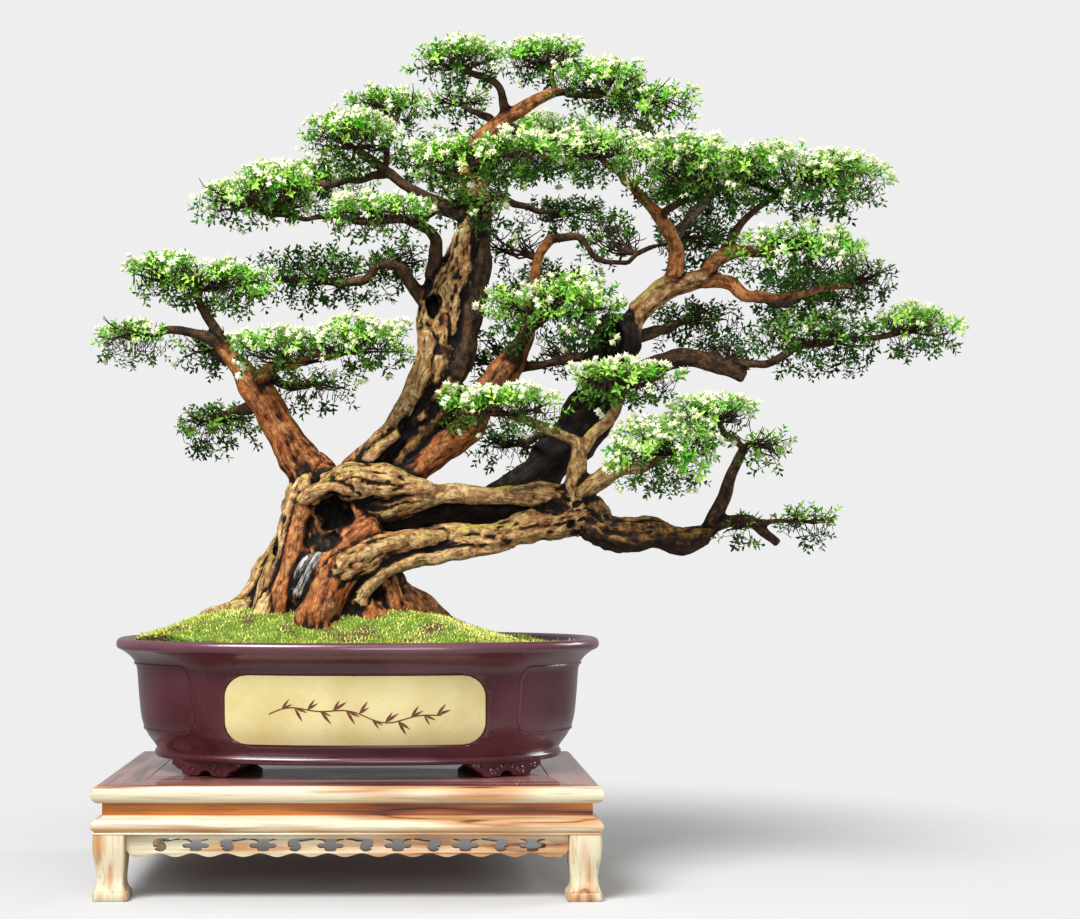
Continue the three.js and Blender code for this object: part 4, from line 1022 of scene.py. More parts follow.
    "right_root": ("red", [(40, -20, 480, 22), (68, -24, 452, 17), (94, -26, 424, 12), (118, -28, 396, 9),
        (136, -28, 366, 7)]),
    "recess_strand": ("red", [(48, -62, 481, 9), (58, -70, 453, 9), (67, -76, 428, 9), (73, -80, 403, 11)]),
    "recess_fold": ("red", [(26, -66, 472, 8), (36, -74, 441, 9), (42, -80, 400, 11)]),
    "shoulder_front": ("old", [(-62, -40, 610, 29), (-15, -50, 616, 34), (36, -48, 620, 31),
        (76, -44, 616, 22), (118, -46, 610, 14), (160, -48, 606, 7)]),
    "shoulder_back": ("old", [(-26, 10, 612, 36), (25, 10, 632, 35)]),
    "edge_strand": ("old", [(-2, -34, 640, 14), (42, -28, 690, 12), (80, -20, 746, 11), (104, -16, 799, 10),
        (105, -12, 850, 11), (118, 0, 890, 9), (134, 10, 920, 6)]),
    "slot_strand": ("old", [(6, -42, 646, 11), (26, -44, 668, 9), (40, -42, 684, 8), (70, -38, 704, 7),
        (104, -32, 734, 7), (136, -24, 771, 6), (163, -14, 809, 4)]),
    "front_foot": ("red", [(-22, -110, 483, 31), (-47, -116, 443, 32), (-59, -118, 405, 34),
        (-62, -116, 368, 38)]),
    "front_toe_left": ("red", [(-68, -114, 416, 21), (-86, -126, 388, 18), (-104, -136, 360, 14)]),
    "front_toe_right": ("red", [(-46, -118, 412, 21), (-38, -130, 386, 18), (-32, -138, 360, 13)]),
    "main_right_side": ("twig", [(150, -6, 780, 18), (168, -8, 820, 19), (174, -12, 862, 20),
        (182, -10, 910, 22), (192, -6, 965, 20), (198, 0, 1015, 15), (200, 4, 1060, 12)]),
    "slot_ridge": ("dark", [(60, -10, 640, 20), (96, -16, 690, 16), (130, -14, 740, 16),
        (160, -12, 790, 14)]),
}
voxel = 0.003
limb_step = 7.0
end_rounding = 14.0
lying_strands = {
    "undercut_lip", "front_root", "dead_strand_front", "dead_strand_left", "dead_strand_right", "hollow_brow",
    "shoulder_front", "edge_strand", "slot_strand", "slot_ridge", "main_right_side", "recess_strand",
    "recess_fold", "inner_ridge"}
bark_tones = ("old", "red", "dark", "dead", "twig", "shade")
wood_triangles = 175000

# Rotted knots and old cuts, each [x, y, height, half width, half depth, half height].
hollows = [
    (-36, -86, 572, 31, 48, 31), (-50, -98, 540, 27, 36, 30), (120, -26, 905, 11, 34, 21),
    (405, -12, 855, 20, 42, 33), (85, -62, 560, 47, 30, 14), (-118, -78, 566, 7, 18, 11),
    (-128, -70, 530, 5, 22, 24), (333, -84, 553, 9, 18, 9), (80, -40, 710, 17, 26, 22),
    (120, -44, 742, 16, 24, 22),
]


def limb_line(stations, rounded):
    """Points and radii at even steps along a smooth curve through a limb's stations. The strands that
    lie on the trunk have rounded ends."""
    knots = np.array(stations, float)
    padded = np.vstack([2 * knots[0] - knots[1], knots, 2 * knots[-1] - knots[-2]])
    line = []
    for i in range(len(knots) - 1):
        p = padded[i : i + 4]
        steps = max(2, int(np.linalg.norm(p[2][:3] - p[1][:3]) / limb_step))
        line += [between(p, t) for t in np.arange(steps) / steps]
    line = np.array([*line, knots[-1]])
    line[:, 3] = np.maximum(line[:, 3], 2.5)
    if rounded:
        run = run_along(line[:, :3])
        to_end = np.clip(np.minimum(run, run[-1] - run) / end_rounding, 0, 1)
        line[:, 3] *= np.sqrt(np.maximum(1 - (1 - to_end) ** 2, 0.1))
    return line


def wander(line):
    """Thin wood kinks a little from side to side as it grows."""
    made = line.copy()
    share = np.linspace(0, 1, len(line))
    reach = np.clip(60 / line[:, 3], 2.5, 9)
    room = np.minimum(1, 4 * np.minimum(share, 1 - share))
    for i, (x, y, z, _) in enumerate(line):
        push = noise.noise_vector(Vector((x, y, z)) / 42)
        made[i, :3] += np.array(push) * room[i] * reach[i]
    return made


def limb_frames(line):
    """Directions along, across and beside a limb at each of its points, carried on without twist."""
    way = np.gradient(line[:, :3], axis=0)
    way /= np.linalg.norm(way, axis=1)[:, None]
    across = np.array([0.3, -1, 0.2])
    rows = []
    for t in way:
        across = across - across.dot(t) * t
        across = across / np.linalg.norm(across)
        rows.append((t, across, np.cross(across, t)))
    return rows


def limb_shell(line, frames):
    """A closed skin round a limb, with swellings where old wounds have healed."""
    sides = int(np.clip(line[:, 3].max() * 0.7, 8, 40))
    points = []
    for (x, y, z, radius), (_, across, beside) in zip(line, frames):
        for k in range(sides):
            turn = 2 * math.pi * k / sides
            out = math.cos(turn) * across + math.sin(turn) * beside
            skin = Vector((x, y, z)) + Vector(out) * radius
            swell = 0.26 * noise.noise(skin / 38) + 0.1 * noise.noise(skin / 14)
            points.append(Vector((x, y, z)) + Vector(out) * radius * (1 + swell))
    return [place(*p) for p in points], ring_faces(len(line), sides)


def unit_ball():
    """Points and faces of a fine round ball of radius one."""
    shaped = bmesh.new()
    bmesh.ops.create_icosphere(shaped, subdivisions=4, radius=1)
    made = [v.co.copy() for v in shaped.verts], [[v.index for v in face.verts] for face in shaped.faces]
    shaped.free()
    return made


ball_points, ball_faces = unit_ball()


def ball(x, y, z, width, depth, height):
    """A rounded hollow's cutter."""
    points = []
    for u in ball_points:
        rough = 1 + 0.34 * noise.noise(u * 1.6 + Vector((x, y, z)))
        points.append(place(x + u.x * width * rough, y + u.y * depth * rough, z + u.z * height * rough))
    return points, ball_faces


# The kinks of the thin wood are drawn from a fixed seed, so that every run grows the same tree.
noise.seed_set(7)
limb_lines = {name: wander(limb_line(stations, name in lying_strands))
              for name, (_, stations) in limbs.items()}
limb_turns = {name: limb_frames(line) for name, line in limb_lines.items()}
wood = make_piece("trunk_and_limbs_bark",
                  *joined([limb_shell(limb_lines[name], limb_turns[name]) for name in limbs]), [])
reshape(wood, "REMESH", mode="VOXEL", voxel_size=voxel)
for hole in hollows:
    cut(wood, make_piece("hole", *ball(*hole), []))
reshape(wood, "REMESH", mode="VOXEL", voxel_size=voxel)
reshape(wood, "SMOOTH", factor=0.5, iterations=2)


def bark_map(points):
    """For each point of the wood: its place along, across and beside the nearest limb, the limb's
    radius there, and which limb it is."""
    best = np.full(len(points), np.inf)
    local = np.zeros((len(points), 3))
    size = np.zeros(len(points))
    which = np.zeros(len(points), int)
    offset = 0.0
    for index, name in enumerate(limbs):
        line, frames = limb_lines[name][::2], limb_turns[name][::2]
        spots = np.array([place(*p[:3]) for p in line])
        radius = line[:, 3] / 1000
        near = np.where(np.all((points > spots.min(0) - 0.14) & (points < spots.max(0) + 0.14), axis=1))[0]
        gaps = np.linalg.norm(points[near][:, None] - spots[None], axis=2) - radius[None]
        pick = gaps.argmin(1)
        gap = gaps[np.arange(len(near)), pick]
        closer = gap < best[near]
        near, pick, gap = near[closer], pick[closer], gap[closer]
        way, across, beside = (np.array([f[k] for f in frames])[pick] for k in range(3))
        run = run_along(spots)
        away = points[near] - spots[pick]
        local[near] = np.stack([offset + run[pick] + (away * way).sum(1), (away * across).sum(1),
                                (away * beside).sum(1)], axis=1)
        best[near] = gap
        size[near] = radius[pick]
        which[near] = index
        offset += run[-1] + 0.37
    return local, size, which


def smoothed(mesh, values, rounds):
    """Values spread out over their neighbours on the mesh."""
    edges = np.empty(len(mesh.edges) * 2, int)
    mesh.edges.foreach_get("vertices", edges)
    a, b = edges[::2], edges[1::2]
    weight = np.bincount(a, minlength=len(values)) + np.bincount(b, minlength=len(values))
    for _ in range(rounds):
        total = np.bincount(a, values[b], len(values)) + np.bincount(b, values[a], len(values))
        values = 0.5 * values + 0.5 * total / np.maximum(weight, 1)
    return values


def mesh_points(mesh):
    flat = np.empty(len(mesh.vertices) * 3)
    mesh.vertices.foreach_get("co", flat)
    return flat.reshape(-1, 3)


def note(mesh, name, values, kind="FLOAT"):
    """Keeps a value for each point of the mesh, for the shaders and trees to read."""
    made = mesh.attributes.get(name) or mesh.attributes.new(name, kind, "POINT")
    field = "vector" if kind == "FLOAT_VECTOR" else "value"
    made.data.foreach_set(field, np.asarray(values, np.float32).ravel())


def sunken(mesh, rounds, depth):
    """How far each point lies in a furrow: 0 on a ridge, 1 a depth in millimetres below its surroundings."""
    points = mesh_points(mesh)
    normals = np.empty(len(points) * 3)
    mesh.vertices.foreach_get("normal", normals)
    around_it = np.stack([smoothed(mesh, points[:, axis], rounds) for axis in range(3)], axis=1)
    fall = ((around_it - points) * normals.reshape(-1, 3)).sum(axis=1) * 1000
    return np.clip(0.5 + 0.5 * fall / depth, 0, 1)


def write_bark(mesh):
    points = mesh_points(mesh)
    local, size, which = bark_map(points)
    note(mesh, "bark_way", local, "FLOAT_VECTOR")
    note(mesh, "girth", smoothed(mesh, size, 6))
    tones = [limbs[name][0] for name in limbs]
    for tone in bark_tones:
        share = np.array([t == tone for t in tones], float)[which]
        note(mesh, f"tone_{tone}", smoothed(mesh, share, 16 if tone != "dead" else 8))
    # Near black towards the inside of each hollow: partly rotted wood, partly painted shade.
    rot_and_shade = np.zeros(len(points))
    for x, y, z, width, depth, height in hollows:
        away = (points - np.array(place(x, y, z))) * 1000 / np.array([width, depth, height])
        rot_and_shade = np.maximum(rot_and_shade, 1 - np.clip((np.linalg.norm(away, axis=1) - 0.92) / 0.22, 0, 1))
    note(mesh, "rot_and_shade", smoothed(mesh, rot_and_shade, 2))


def relief_tree():
    """Long plates and furrows of bark, raised along each limb, finer on the thin wood."""
    tree, come, go = growing_tree("bark_relief", [("Depth", "NodeSocketFloat", 0.003)])

    def read(name, kind="FLOAT"):
        return node(tree, "GeometryNodeInputNamedAttribute", {"data_type": kind}, {"Name": name}).outputs[0]

    def furrows(stretch, scale, detail):
        spread = vectors(tree, "MULTIPLY", read("bark_way", "FLOAT_VECTOR"), stretch)
        return clouds(tree, spread, scale, detail, Distortion=0.4)

    def centred(value):
        return maths(tree, "SUBTRACT", value, 0.5)

    def creased(value):
        return maths(tree, "SUBTRACT", ranged(tree, maths(tree, "ABSOLUTE", centred(value)), 0.0, 0.11), 0.7)

    old = plus(tree, read("tone_old"), times(tree, read("tone_dark"), 1.1))
    old = plus(tree, old, times(tree, read("tone_shade"), 0.6))
    red = plus(tree, read("tone_red"), read("tone_twig"))
    dead = read("tone_dead")

    def weighed(shape, on_old, on_red, on_dead):
        share = plus(tree, times(tree, old, on_old), times(tree, red, on_red))
        return times(tree, shape, plus(tree, share, times(tree, dead, on_dead)))

    strands = weighed(creased(furrows((0.13, 1, 1), 26.0, 2.0)), 1.0, 0.7, 0.9)
    knobs = weighed(centred(furrows((0.8, 1, 1), 21.0, 3.0)), 4.0, 2.0, 0.8)
    plates = weighed(creased(furrows((0.3, 1, 1), 58.0, 2.0)), 0.4, 0.2, 0.5)
    grit = weighed(centred(furrows((0.6, 1, 1), 85.0, 3.0)), 1.9, 0.8, 0.8)
    shape = plus(tree, plus(tree, strands, knobs), plus(tree, plates, grit))
    room = ranged(tree, read("girth"), 0.004, 0.036, 0.1, 1.0)
    push = times(tree, times(tree, shape, room), come.outputs["Depth"])
    normal = node(tree, "GeometryNodeInputNormal").outputs[0]
    moved = node(tree, "GeometryNodeSetPosition", None,
                 {"Geometry": come.outputs["Geometry"], "Offset": stretched(tree, normal, push)}).outputs[0]
    tree.links.new(moved, go.inputs["Geometry"])
    return tree


def bark():
    """Bark in its tones: flaking ochre on the old ridges, smooth red brown on the limbs, grey on the dead
    strands and near black in the hollows, partly rot and partly painted shade, with yellow-green lichen where
    it faces up. Painted shade also darkens the furrows, the dips and the shaded back limbs, and the pale
    ridges are partly a painted highlight."""
    material, tree = new_material("old_bark", Specular_IOR_Level=0.35)
    way, where = noted(tree, "bark_way", "Vector"), spot(tree)

    def streaks(stretch, scale, detail, distortion=0.3):
        spread = vectors(tree, "MULTIPLY", way, stretch)
        return clouds(tree, spread, scale, detail, Roughness=0.62, Distortion=distortion)

    def toned(value, low, high, dark, light):
        return blended(tree, ranged(tree, value, low, high), dark, light)

    def laid(share, most, under, over):
        """A colour laid over another one by a share of at most so much."""
        return blended(tree, times(tree, share, most), under, over)

    broad = streaks((0.34, 1, 1), 66.0, 7.0)
    fine = streaks((0.2, 1, 1), 170.0, 6.0)
    cracks = maths(tree, "ABSOLUTE", maths(tree, "SUBTRACT", streaks((0.3, 1, 1), 50.0, 5.0, 1.2), 0.5))
    patch = clouds(tree, where, 17.0, 7.0)
    spots = clouds(tree, where, 95.0, 7.0, Roughness=0.62)
    facing = upward(tree, node(tree, "ShaderNodeNewGeometry").outputs["Normal"])
    furrow = noted(tree, "furrow")
    # Pale on the ridges, out of the furrows: partly weathered bark, partly painted highlight.
    ridge_wear_and_highlight = times(tree, ranged(tree, furrow, 0.6, 0.25), ranged(tree, spots, 0.4, 0.6, 0.2, 1.0))
    old = laid(ranged(tree, patch, 0.45, 0.58), 0.72, toned(broad, 0.34, 0.64, "6A4424", "A87C44"), "7E4220")
    # The dark tone is partly the bark's own dark colour and partly painted shade; its pale flakes are a
    # painted highlight that grows where the wood faces up.
    dark = toned(broad, 0.45, 0.7, "060403", "3A2416")
    shades = {
        "old": laid(ridge_wear_and_highlight, 0.62, old, "E2CA98"),
        "twig": laid(ridge_wear_and_highlight, 0.25, toned(broad, 0.42, 0.68, "150B07", "462D1E"), "A07A54"),
        "dark": laid(ridge_wear_and_highlight, ranged(tree, facing, -0.5, 0.5, 0.1, 1.0), dark, "A87C44"),
        "dead": toned(fine, 0.38, 0.6, "1E1B1E", "B6B2AC"),
        # Painted shade: the shade tone is near black, a little lighter on the ridges.
        "shade": blended(tree, ridge_wear_and_highlight, "060403", "2A180E"),
    }
    colour = laid(ridge_wear_and_highlight, 0.5, toned(broad, 0.36, 0.64, "47190A", "985225"), "DCA468")
    uneven = times(tree, maths(tree, "SUBTRACT", patch, 0.5), 1.2)
    for tone, shade in shades.items():
        share = plus(tree, noted(tree, f"tone_{tone}"), uneven)
        colour = blended(tree, ranged(tree, share, 0.32, 0.62), colour, shade)
    lichen = times(tree, ranged(tree, facing, -0.1, 0.7), ranged(tree, spots, 0.48, 0.58))
    lichen = times(tree, lichen, plus(tree, noted(tree, "tone_old"), 0.1))
    colour = laid(lichen, ranged(tree, patch, 0.42, 0.56, 0.0, 0.9), colour, "A9A23A")
    colour = laid(ranged(tree, fine, 0.46, 0.36), 0.5, colour, "1E0E07")
    colour = laid(ranged(tree, cracks, 0.03, 0.006), 0.6, colour, "140A05")
    # Painted shade: near black down in the furrows, and in the wider dips between limbs.
    colour = blended(tree, ranged(tree, furrow, 0.51, 0.68, 0.0, 0.97), colour, "0E0704")
    colour = blended(tree, ranged(tree, noted(tree, "painted_dip_shade"), 0.45, 0.7, 0.0, 0.92), colour, "100704")
    # Painted shade with rot: near black in the hollows.
    colour = laid(noted(tree, "rot_and_shade"), ranged(tree, spots, 0.75, 0.3, 0.8, 1.0), colour, "070403")
    height = plus(tree, times(tree, fine, 0.6), times(tree, streaks((0.5, 1, 1), 120.0, 5.0), 0.9))
    return dressed(material, colour, ranged(tree, fine, 0.3, 0.7, 0.9, 0.62), (0.9, 0.004, height))


write_bark(wood.data)
reshape(wood, "NODES", node_group=relief_tree())
# These depths paint shade into the bark: its furrows and the wider dips between limbs go near black.
note(wood.data, "furrow", sunken(wood.data, 12, 1.3))
note(wood.data, "painted_dip_shade", sunken(wood.data, 90, 7.0))
reshape(wood, "DECIMATE", ratio=min(1.0, wood_triangles / (2 * len(wood.data.polygons))))
wood.data.shade_smooth()
wood.data.materials.clear()
wood.data.materials.append(bark())
settle(wood, "bark", "trunk_and_limbs")


# The leaves grow in flat clouds, each on the twigs of one branch: small glossy leaves in opposite pairs on
# short shoots, with cream heads of stamens where the sun reaches. Each clump is [x, y, height, half width,
# half depth, half height]; light says how brightly its leaves are painted, as painted light and shade, bright
# at the front and top and dark at the back, bloom how much of it flowers.
sprays = {
    "left_top": (1.25, 0.6, [(-295, -24, 955, 79, 66, 36), (-215, -18, 940, 83, 74, 40)]),
    "left_tip": (1.15, 0.6, [(-355, -42, 850, 66, 60, 33)]),
    "left_inner": (0.65, 0.0, [(-245, 66, 845, 59, 52, 38)]),
    "left_low": (0.5, 0.02, [(-235, 100, 725, 76, 66, 46)]),
    "left_right": (1.2, 1.0, [(-105, -84, 828, 106, 62, 38), (-2, -92, 836, 102, 62, 44)]),
    "left_under": (0.35, 0.0, [(-75, 66, 780, 69, 54, 28)]),
    "west_tip": (1.15, 0.9, [(-198, 16, 1080, 62, 60, 38), (-140, 24, 1100, 81, 74, 47)]),
    "west_crown": (1.05, 0.8, [(-10, -4, 1175, 84, 80, 45)]),
    "west_upper": (1.05, 0.7, [(45, 118, 1255, 77, 62, 39)]),
    "west_back": (0.75, 0.5, [(-85, 210, 1145, 103, 70, 47)]),
    "west_front": (1.15, 1.0, [(35, -108, 1035, 96, 58, 32)]),
    "west_low": (0.4, 0.04, [(-65, 104, 975, 139, 60, 55), (70, 60, 990, 50, 40, 48)]),
    "apex_left": (1.05, 0.6, [(160, -24, 1295, 78, 70, 35)]),
    "apex_back": (0.6, 0.1, [(170, 134, 1265, 60, 50, 30)]),
    "apex": (0.9, 0.6, [(300, 64, 1320, 78, 70, 32)]),
    "apex_right": (0.9, 0.65, [(395, -4, 1265, 86, 66, 42), (468, 6, 1226, 86, 60, 46)]),
    "heart_left": (1.15, 1.0, [(150, -150, 1110, 74, 60, 36), (235, -152, 1115, 78, 66, 40)]),
    "heart_right": (1.05, 0.9, [(360, -146, 1120, 68, 70, 42)]),
    "crown_back": (0.8, 0.5, [(185, 236, 1190, 128, 74, 58), (310, 232, 1220, 126, 74, 58)]),
    "knot_front": (0.6, 0.35, [(175, -76, 1050, 72, 46, 38)]),
    "inner_back": (0.4, 0.04, [(350, 158, 1085, 97, 50, 39), (240, 70, 1025, 48, 40, 36),
                               (412, 120, 1045, 54, 40, 52)]),
    "east_crown": (1.0, 0.9, [(515, -58, 1120, 107, 72, 51), (635, -54, 1110, 104, 70, 51),
                              (738, -52, 1097, 98, 70, 52)]),
    "east_back": (0.75, 0.4, [(600, 232, 1145, 106, 72, 54)]),
    "east_dark": (0.35, 0.0, [(560, 102, 1030, 90, 56, 48)]),
    "east_middle": (0.75, 0.45, [(700, -54, 985, 110, 64, 51)]),
    "east_shade": (0.45, 0.06, [(824, 104, 967, 68, 56, 45)]),
    "east_low": (0.35, 0.0, [(560, 140, 900, 90, 56, 49), (612, 90, 848, 58, 45, 36)]),
    "east_wide": (0.45, 0.06, [(730, 4, 855, 110, 66, 58)]),
    "east_tip": (0.95, 0.5, [(886, 10, 875, 72, 64, 42)]),
    "east_far_back": (0.45, 0.1, [(765, 210, 955, 102, 64, 54)]),
    "centre_front": (0.8, 0.65, [(255, -124, 880, 70, 58, 49), (330, -118, 890, 82, 64, 56)]),
    "centre_back": (0.35, 0.04, [(325, 240, 970, 99, 66, 54), (212, 100, 845, 54, 40, 50),
                                (336, 70, 850, 52, 45, 40)]),
    "front_left": (1.1, 0.9, [(212, -168, 733, 106, 60, 38)]),
    "front_under": (0.3, 0.0, [(255, 112, 690, 72, 54, 35)]),
    "front_middle": (1.1, 0.9, [(410, -142, 775, 88, 64, 32)]),
    "front_right": (1.0, 1.0, [(465, -172, 665, 88, 72, 58)]),
    "front_high": (1.0, 0.7, [(540, -166, 720, 74, 60, 33)]),
    "far_twig": (0.6, 0.0, [(645, -46, 675, 43, 44, 42)]),
    "lowest": (0.6, 0.0, [(705, -68, 560, 64, 46, 30), (600, -62, 548, 44, 34, 26)]),
}
leaf_length, leaf_width, shoot_length = 0.012, 0.006, 0.027
shoot_spacing = 0.0090
head_radius = 0.006
cloud_sink = 12
room_beside, room_above = 20, 24
golden_turn = 2.39996


def leaf_form(root, axis, up, length, width):
    """A small folded blade, hollow along its keel."""
    root, axis = Vector(root), Vector(axis).normalized()
    across = axis.cross(Vector(up)).normalized()
    above = across.cross(axis)
    middle_of = root + axis * length * 0.5
    points = [root, root + axis * length - above * length * 0.12,
              middle_of + across * width / 2 + above * width * 0.16,
              middle_of - across * width / 2 + above * width * 0.16,
              middle_of - above * width * 0.04, middle_of - above * width * 0.16]
    return points, [[0, 2, 4], [2, 1, 4], [1, 3, 4], [3, 0, 4], [2, 0, 5], [1, 2, 5], [3, 1, 5], [0, 3, 5]]


def shoot_leaves():
    """Four opposite pairs along a shoot, each turned a quarter from the one below it."""
    leaves = []
    for pair in range(4):
        height = shoot_length * (0.3 + 0.21 * pair)
        size = (0.85, 1.0, 0.95, 0.75)[pair]
        for side in (0, 1):
            turn = math.pi * side + math.pi / 2 * pair + 0.2 * pair
            lean = (0.25, 0.45, 0.75, 1.3)[pair]
            out = (math.cos(turn), math.sin(turn), lean)
            up = (-math.cos(turn) * lean, -math.sin(turn) * lean, 1)
            leaves.append(leaf_form((0, 0, height), out, up, leaf_length * size, leaf_width * size))
    return joined(leaves)


def bloom_head():
    """A flower head: two small cups close together, each a ball of pale stamens."""
    parts = []
    for heart in ((0, 0, 0), (0.0085, 0.003, -0.003)):
        heart = Vector(heart)
        axes = [Vector(a) for a in ((1, 0, 0), (0, 1, 0), (-1, 0, 0), (0, -1, 0), (0, 0, 1), (0, 0, -1))]
        ball_faces = [[k, (k + 1) % 4, pole] for k in range(4) for pole in (4, 5)]
        parts.append(([heart + a * head_radius * 0.8 for a in axes], ball_faces))
        for k in range(7):
            height = 1 - 1.2 * (k + 0.5) / 7
            ring = math.sqrt(1 - height * height)
            way = Vector((ring * math.cos(golden_turn * k), ring * math.sin(golden_turn * k), height))
            parts.append(spike(way, heart + way * 0.001, head_radius, 0.0021))
    return joined(parts)


def spray_tree(leaf_paint, stem_paint, bloom_paint):
    """Shoots all over the clouds, denser on top, and flower heads among them in drifts."""
    tree, come, go = growing_tree("spray", [
        ("Spacing", "NodeSocketFloat", 0.012), ("Seed", "NodeSocketInt", 1),
        ("Light", "NodeSocketFloat", 1.0), ("Bloom", "NodeSocketFloat", 0.3),
        ("Leaves", "NodeSocketObject", None), ("Stem", "NodeSocketObject", None),
        ("Head", "NodeSocketObject", None)])
    where = node(tree, "GeometryNodeInputPosition").outputs[0]
    rise = upward(tree, node(tree, "GeometryNodeInputNormal").outputs[0])
    cover = times(tree, ranged(tree, rise, -0.8, 0.3, 0.45, 1.0),
                  ranged(tree, clouds(tree, where, 30.0), 0.34, 0.5, 0.35, 1.0))
    spread = scattered(tree, come, 30000.0, cover)
    out_rise = upward(tree, spread["Normal"])
    # Painted light and shade: each shoot's sun is its cloud's light, darker where the cloud faces down.
    sun = times(tree, come.outputs["Light"], ranged(tree, out_rise, -0.9, 0.3, 0.3, 1.0))
    lit = node(tree, "GeometryNodeStoreNamedAttribute", {"data_type": "FLOAT", "domain": "POINT"},
               {"Geometry": spread["Points"], "Name": "sun", "Value": sun}).outputs[0]
    lifted = vectors(tree, "ADD", spread["Normal"], (0, 0, 0.3))
    pointing = vectors(tree, "ADD", lifted, chance_way(tree, 0.75, 5))
    size = chance(tree, 0.75, 1.15, 7)
    shoots = set_on(tree, come.outputs["Leaves"], lit, pointing, size, leaf_paint, 11)
    stems = set_on(tree, come.outputs["Stem"], lit, pointing, size, stem_paint, 11)

    drift = ranged(tree, clouds(tree, where, 24.0, 1.0), 0.4, 0.56, 0.35, 1.0)
    open_side = ranged(tree, out_rise, -0.8, 0.0, 0.1, 1.0)
    likely = times(tree, times(tree, come.outputs["Bloom"], times(tree, drift, open_side)), 0.9)
    chosen = maths(tree, "LESS_THAN", chance(tree, 0.0, 1.0, 23), likely)
    along = node(tree, "ShaderNodeVectorMath", {"operation": "NORMALIZE"}, {0: pointing}).outputs[0]
    away = stretched(tree, along, chance(tree, 0.026, 0.036, 31))
    raised = node(tree, "GeometryNodeSetPosition", None, {"Geometry": lit, "Offset": away}).outputs[0]
    head_size = chance(tree, 0.75, 1.2, 37)
    heads = set_on(tree, come.outputs["Head"], raised, pointing, head_size, bloom_paint, 41, chosen)
    bunch = tree.nodes.new("GeometryNodeJoinGeometry")
    for part in (heads, stems, shoots):
        tree.links.new(part, bunch.inputs[0])
    tree.links.new(bunch.outputs[0], go.inputs["Geometry"])
    return tree


def leaf_material():
    material, tree = new_material("leaves", Roughness=0.45, Specular_IOR_Level=0.3)
    tint = noted(tree, "tint")
    speck = maths(tree, "SUBTRACT", clouds(tree, spot(tree), 120.0, 1.0), 0.5)
    # Painted light and shade: the sun value turns the leaves from dark to bright green.
    level = plus(tree, noted(tree, "sun"), times(tree, speck, 0.9))
    bright, dark = blended(tree, tint, "52A426", "B0D864"), blended(tree, tint, "102A08", "3C6A1A")
    return dressed(material, blended(tree, ranged(tree, level, 0.24, 0.8), dark, bright))


def stem_material():
    material, tree = new_material("young_stems", Roughness=0.7)
    speck = ranged(tree, clouds(tree, spot(tree), 60.0), 0.35, 0.65)
    return dressed(material, blended(tree, speck, "140C08", "4A3020"))


def bloom_material():
    material, tree = new_material("stamens", Roughness=0.6)
    return dressed(material, blended(tree, noted(tree, "tint"), "CCD2A2", "E6EAD0"))


def swallowed(spot_at, clump):
    """Whether a point lies well inside a clump."""
    return sum(((spot_at[i] - clump[i]) / (0.78 * clump[i + 3])) ** 2 for i in range(3)) <= 1


def cloud(clump, share, others):
    """A lumpy shell inside a clump's reach, flat below, open where it runs into another clump."""
    x, y, z, width, depth, height = clump
    points = []
    for u in ball_points:
        skin = Vector((x + u.x * width, y + u.y * depth, z + u.z * height))
        lump = share * (1 + 0.34 * noise.noise(skin / 52) + 0.16 * noise.noise(skin / 22))
        tall = max(height - room_above, 0.35 * height)
        out = ((width - room_beside) * u.x, (depth - room_beside) * u.y, tall * u.z)
        points.append((x + out[0] * lump, y + out[1] * lump, z + out[2] * lump - cloud_sink))
    faces = []
    for corners in ball_faces:
        heart = np.mean([points[k] for k in corners], axis=0)
        if not any(swallowed(heart, other) for other in others):
            faces.append(corners)
    return [place(*p) for p in points], faces


def bent_path(start, end, steps, bow):
    """A twig's path: it leaves sideways and turns up, with small kinks."""
    start, end = np.array(start), np.array(end)
    knee = start + (end - start) * np.array([0.62, 0.62, 0.2]) + np.array([0, 0, bow])
    path = []
    for t in np.linspace(0, 1, steps + 1):
        at = (1 - t) ** 2 * start + 2 * t * (1 - t) * knee + t * t * end
        kink = np.array(noise.noise_vector(Vector(at) / 17)) * 5 * min(1, 5 * min(t, 1 - t))
        path.append(at + kink)
    return path


def twigs(clump, luck):
    """Thin forked twigs from the nearest wood out to a clump's shoots, in millimetres."""
    x, y, z, width, depth, height = clump
    low = np.array([x, y, z - 0.5 * height])
    hub = live_wood[np.linalg.norm(live_wood - low, axis=1).argmin()]
    made = []
    for k in range(13):
        turn, rise = golden_turn * k + luck.random(), luck.uniform(-0.55, 0.75)
        flat = math.sqrt(1 - rise * rise) * luck.uniform(0.55, 0.92)
        end = (x + width * flat * math.cos(turn), y + depth * flat * math.sin(turn), z + 0.75 * height * rise)
        path = bent_path(hub, end, 8, luck.uniform(-6, 10))
        made.append(tube(path, np.linspace(2.6, 0.8, 9).tolist(), 4))
        for start in (4, 6):
            side = np.array([luck.uniform(-1, 1) * 34, luck.uniform(-1, 1) * 28, luck.uniform(4, 24)])
            made.append(tube(bent_path(path[start], path[start] + side, 3, 0), [1.4, 1.1, 0.9, 0.6], 3))
    points, faces = joined(made)
    return [place(*p) for p in points], faces


live_wood = np.vstack([line[:, :3] for name, line in limb_lines.items()
                       if limbs[name][0] in ("twig", "old", "red")])
forms = {
    "Leaves": hidden_form("leaf_pairs", *shoot_leaves()),
    "Stem": hidden_form("shoot_stem", *spike((0, 0, 1), (0, 0, -0.012), shoot_length * 0.95 + 0.012, 0.0009)),
    "Head": hidden_form("flower_head", *bloom_head()),
}
forms["Leaves"].data.shade_flat()
paints = leaf_material(), stem_material(), bloom_material()
grow = spray_tree(*paints)

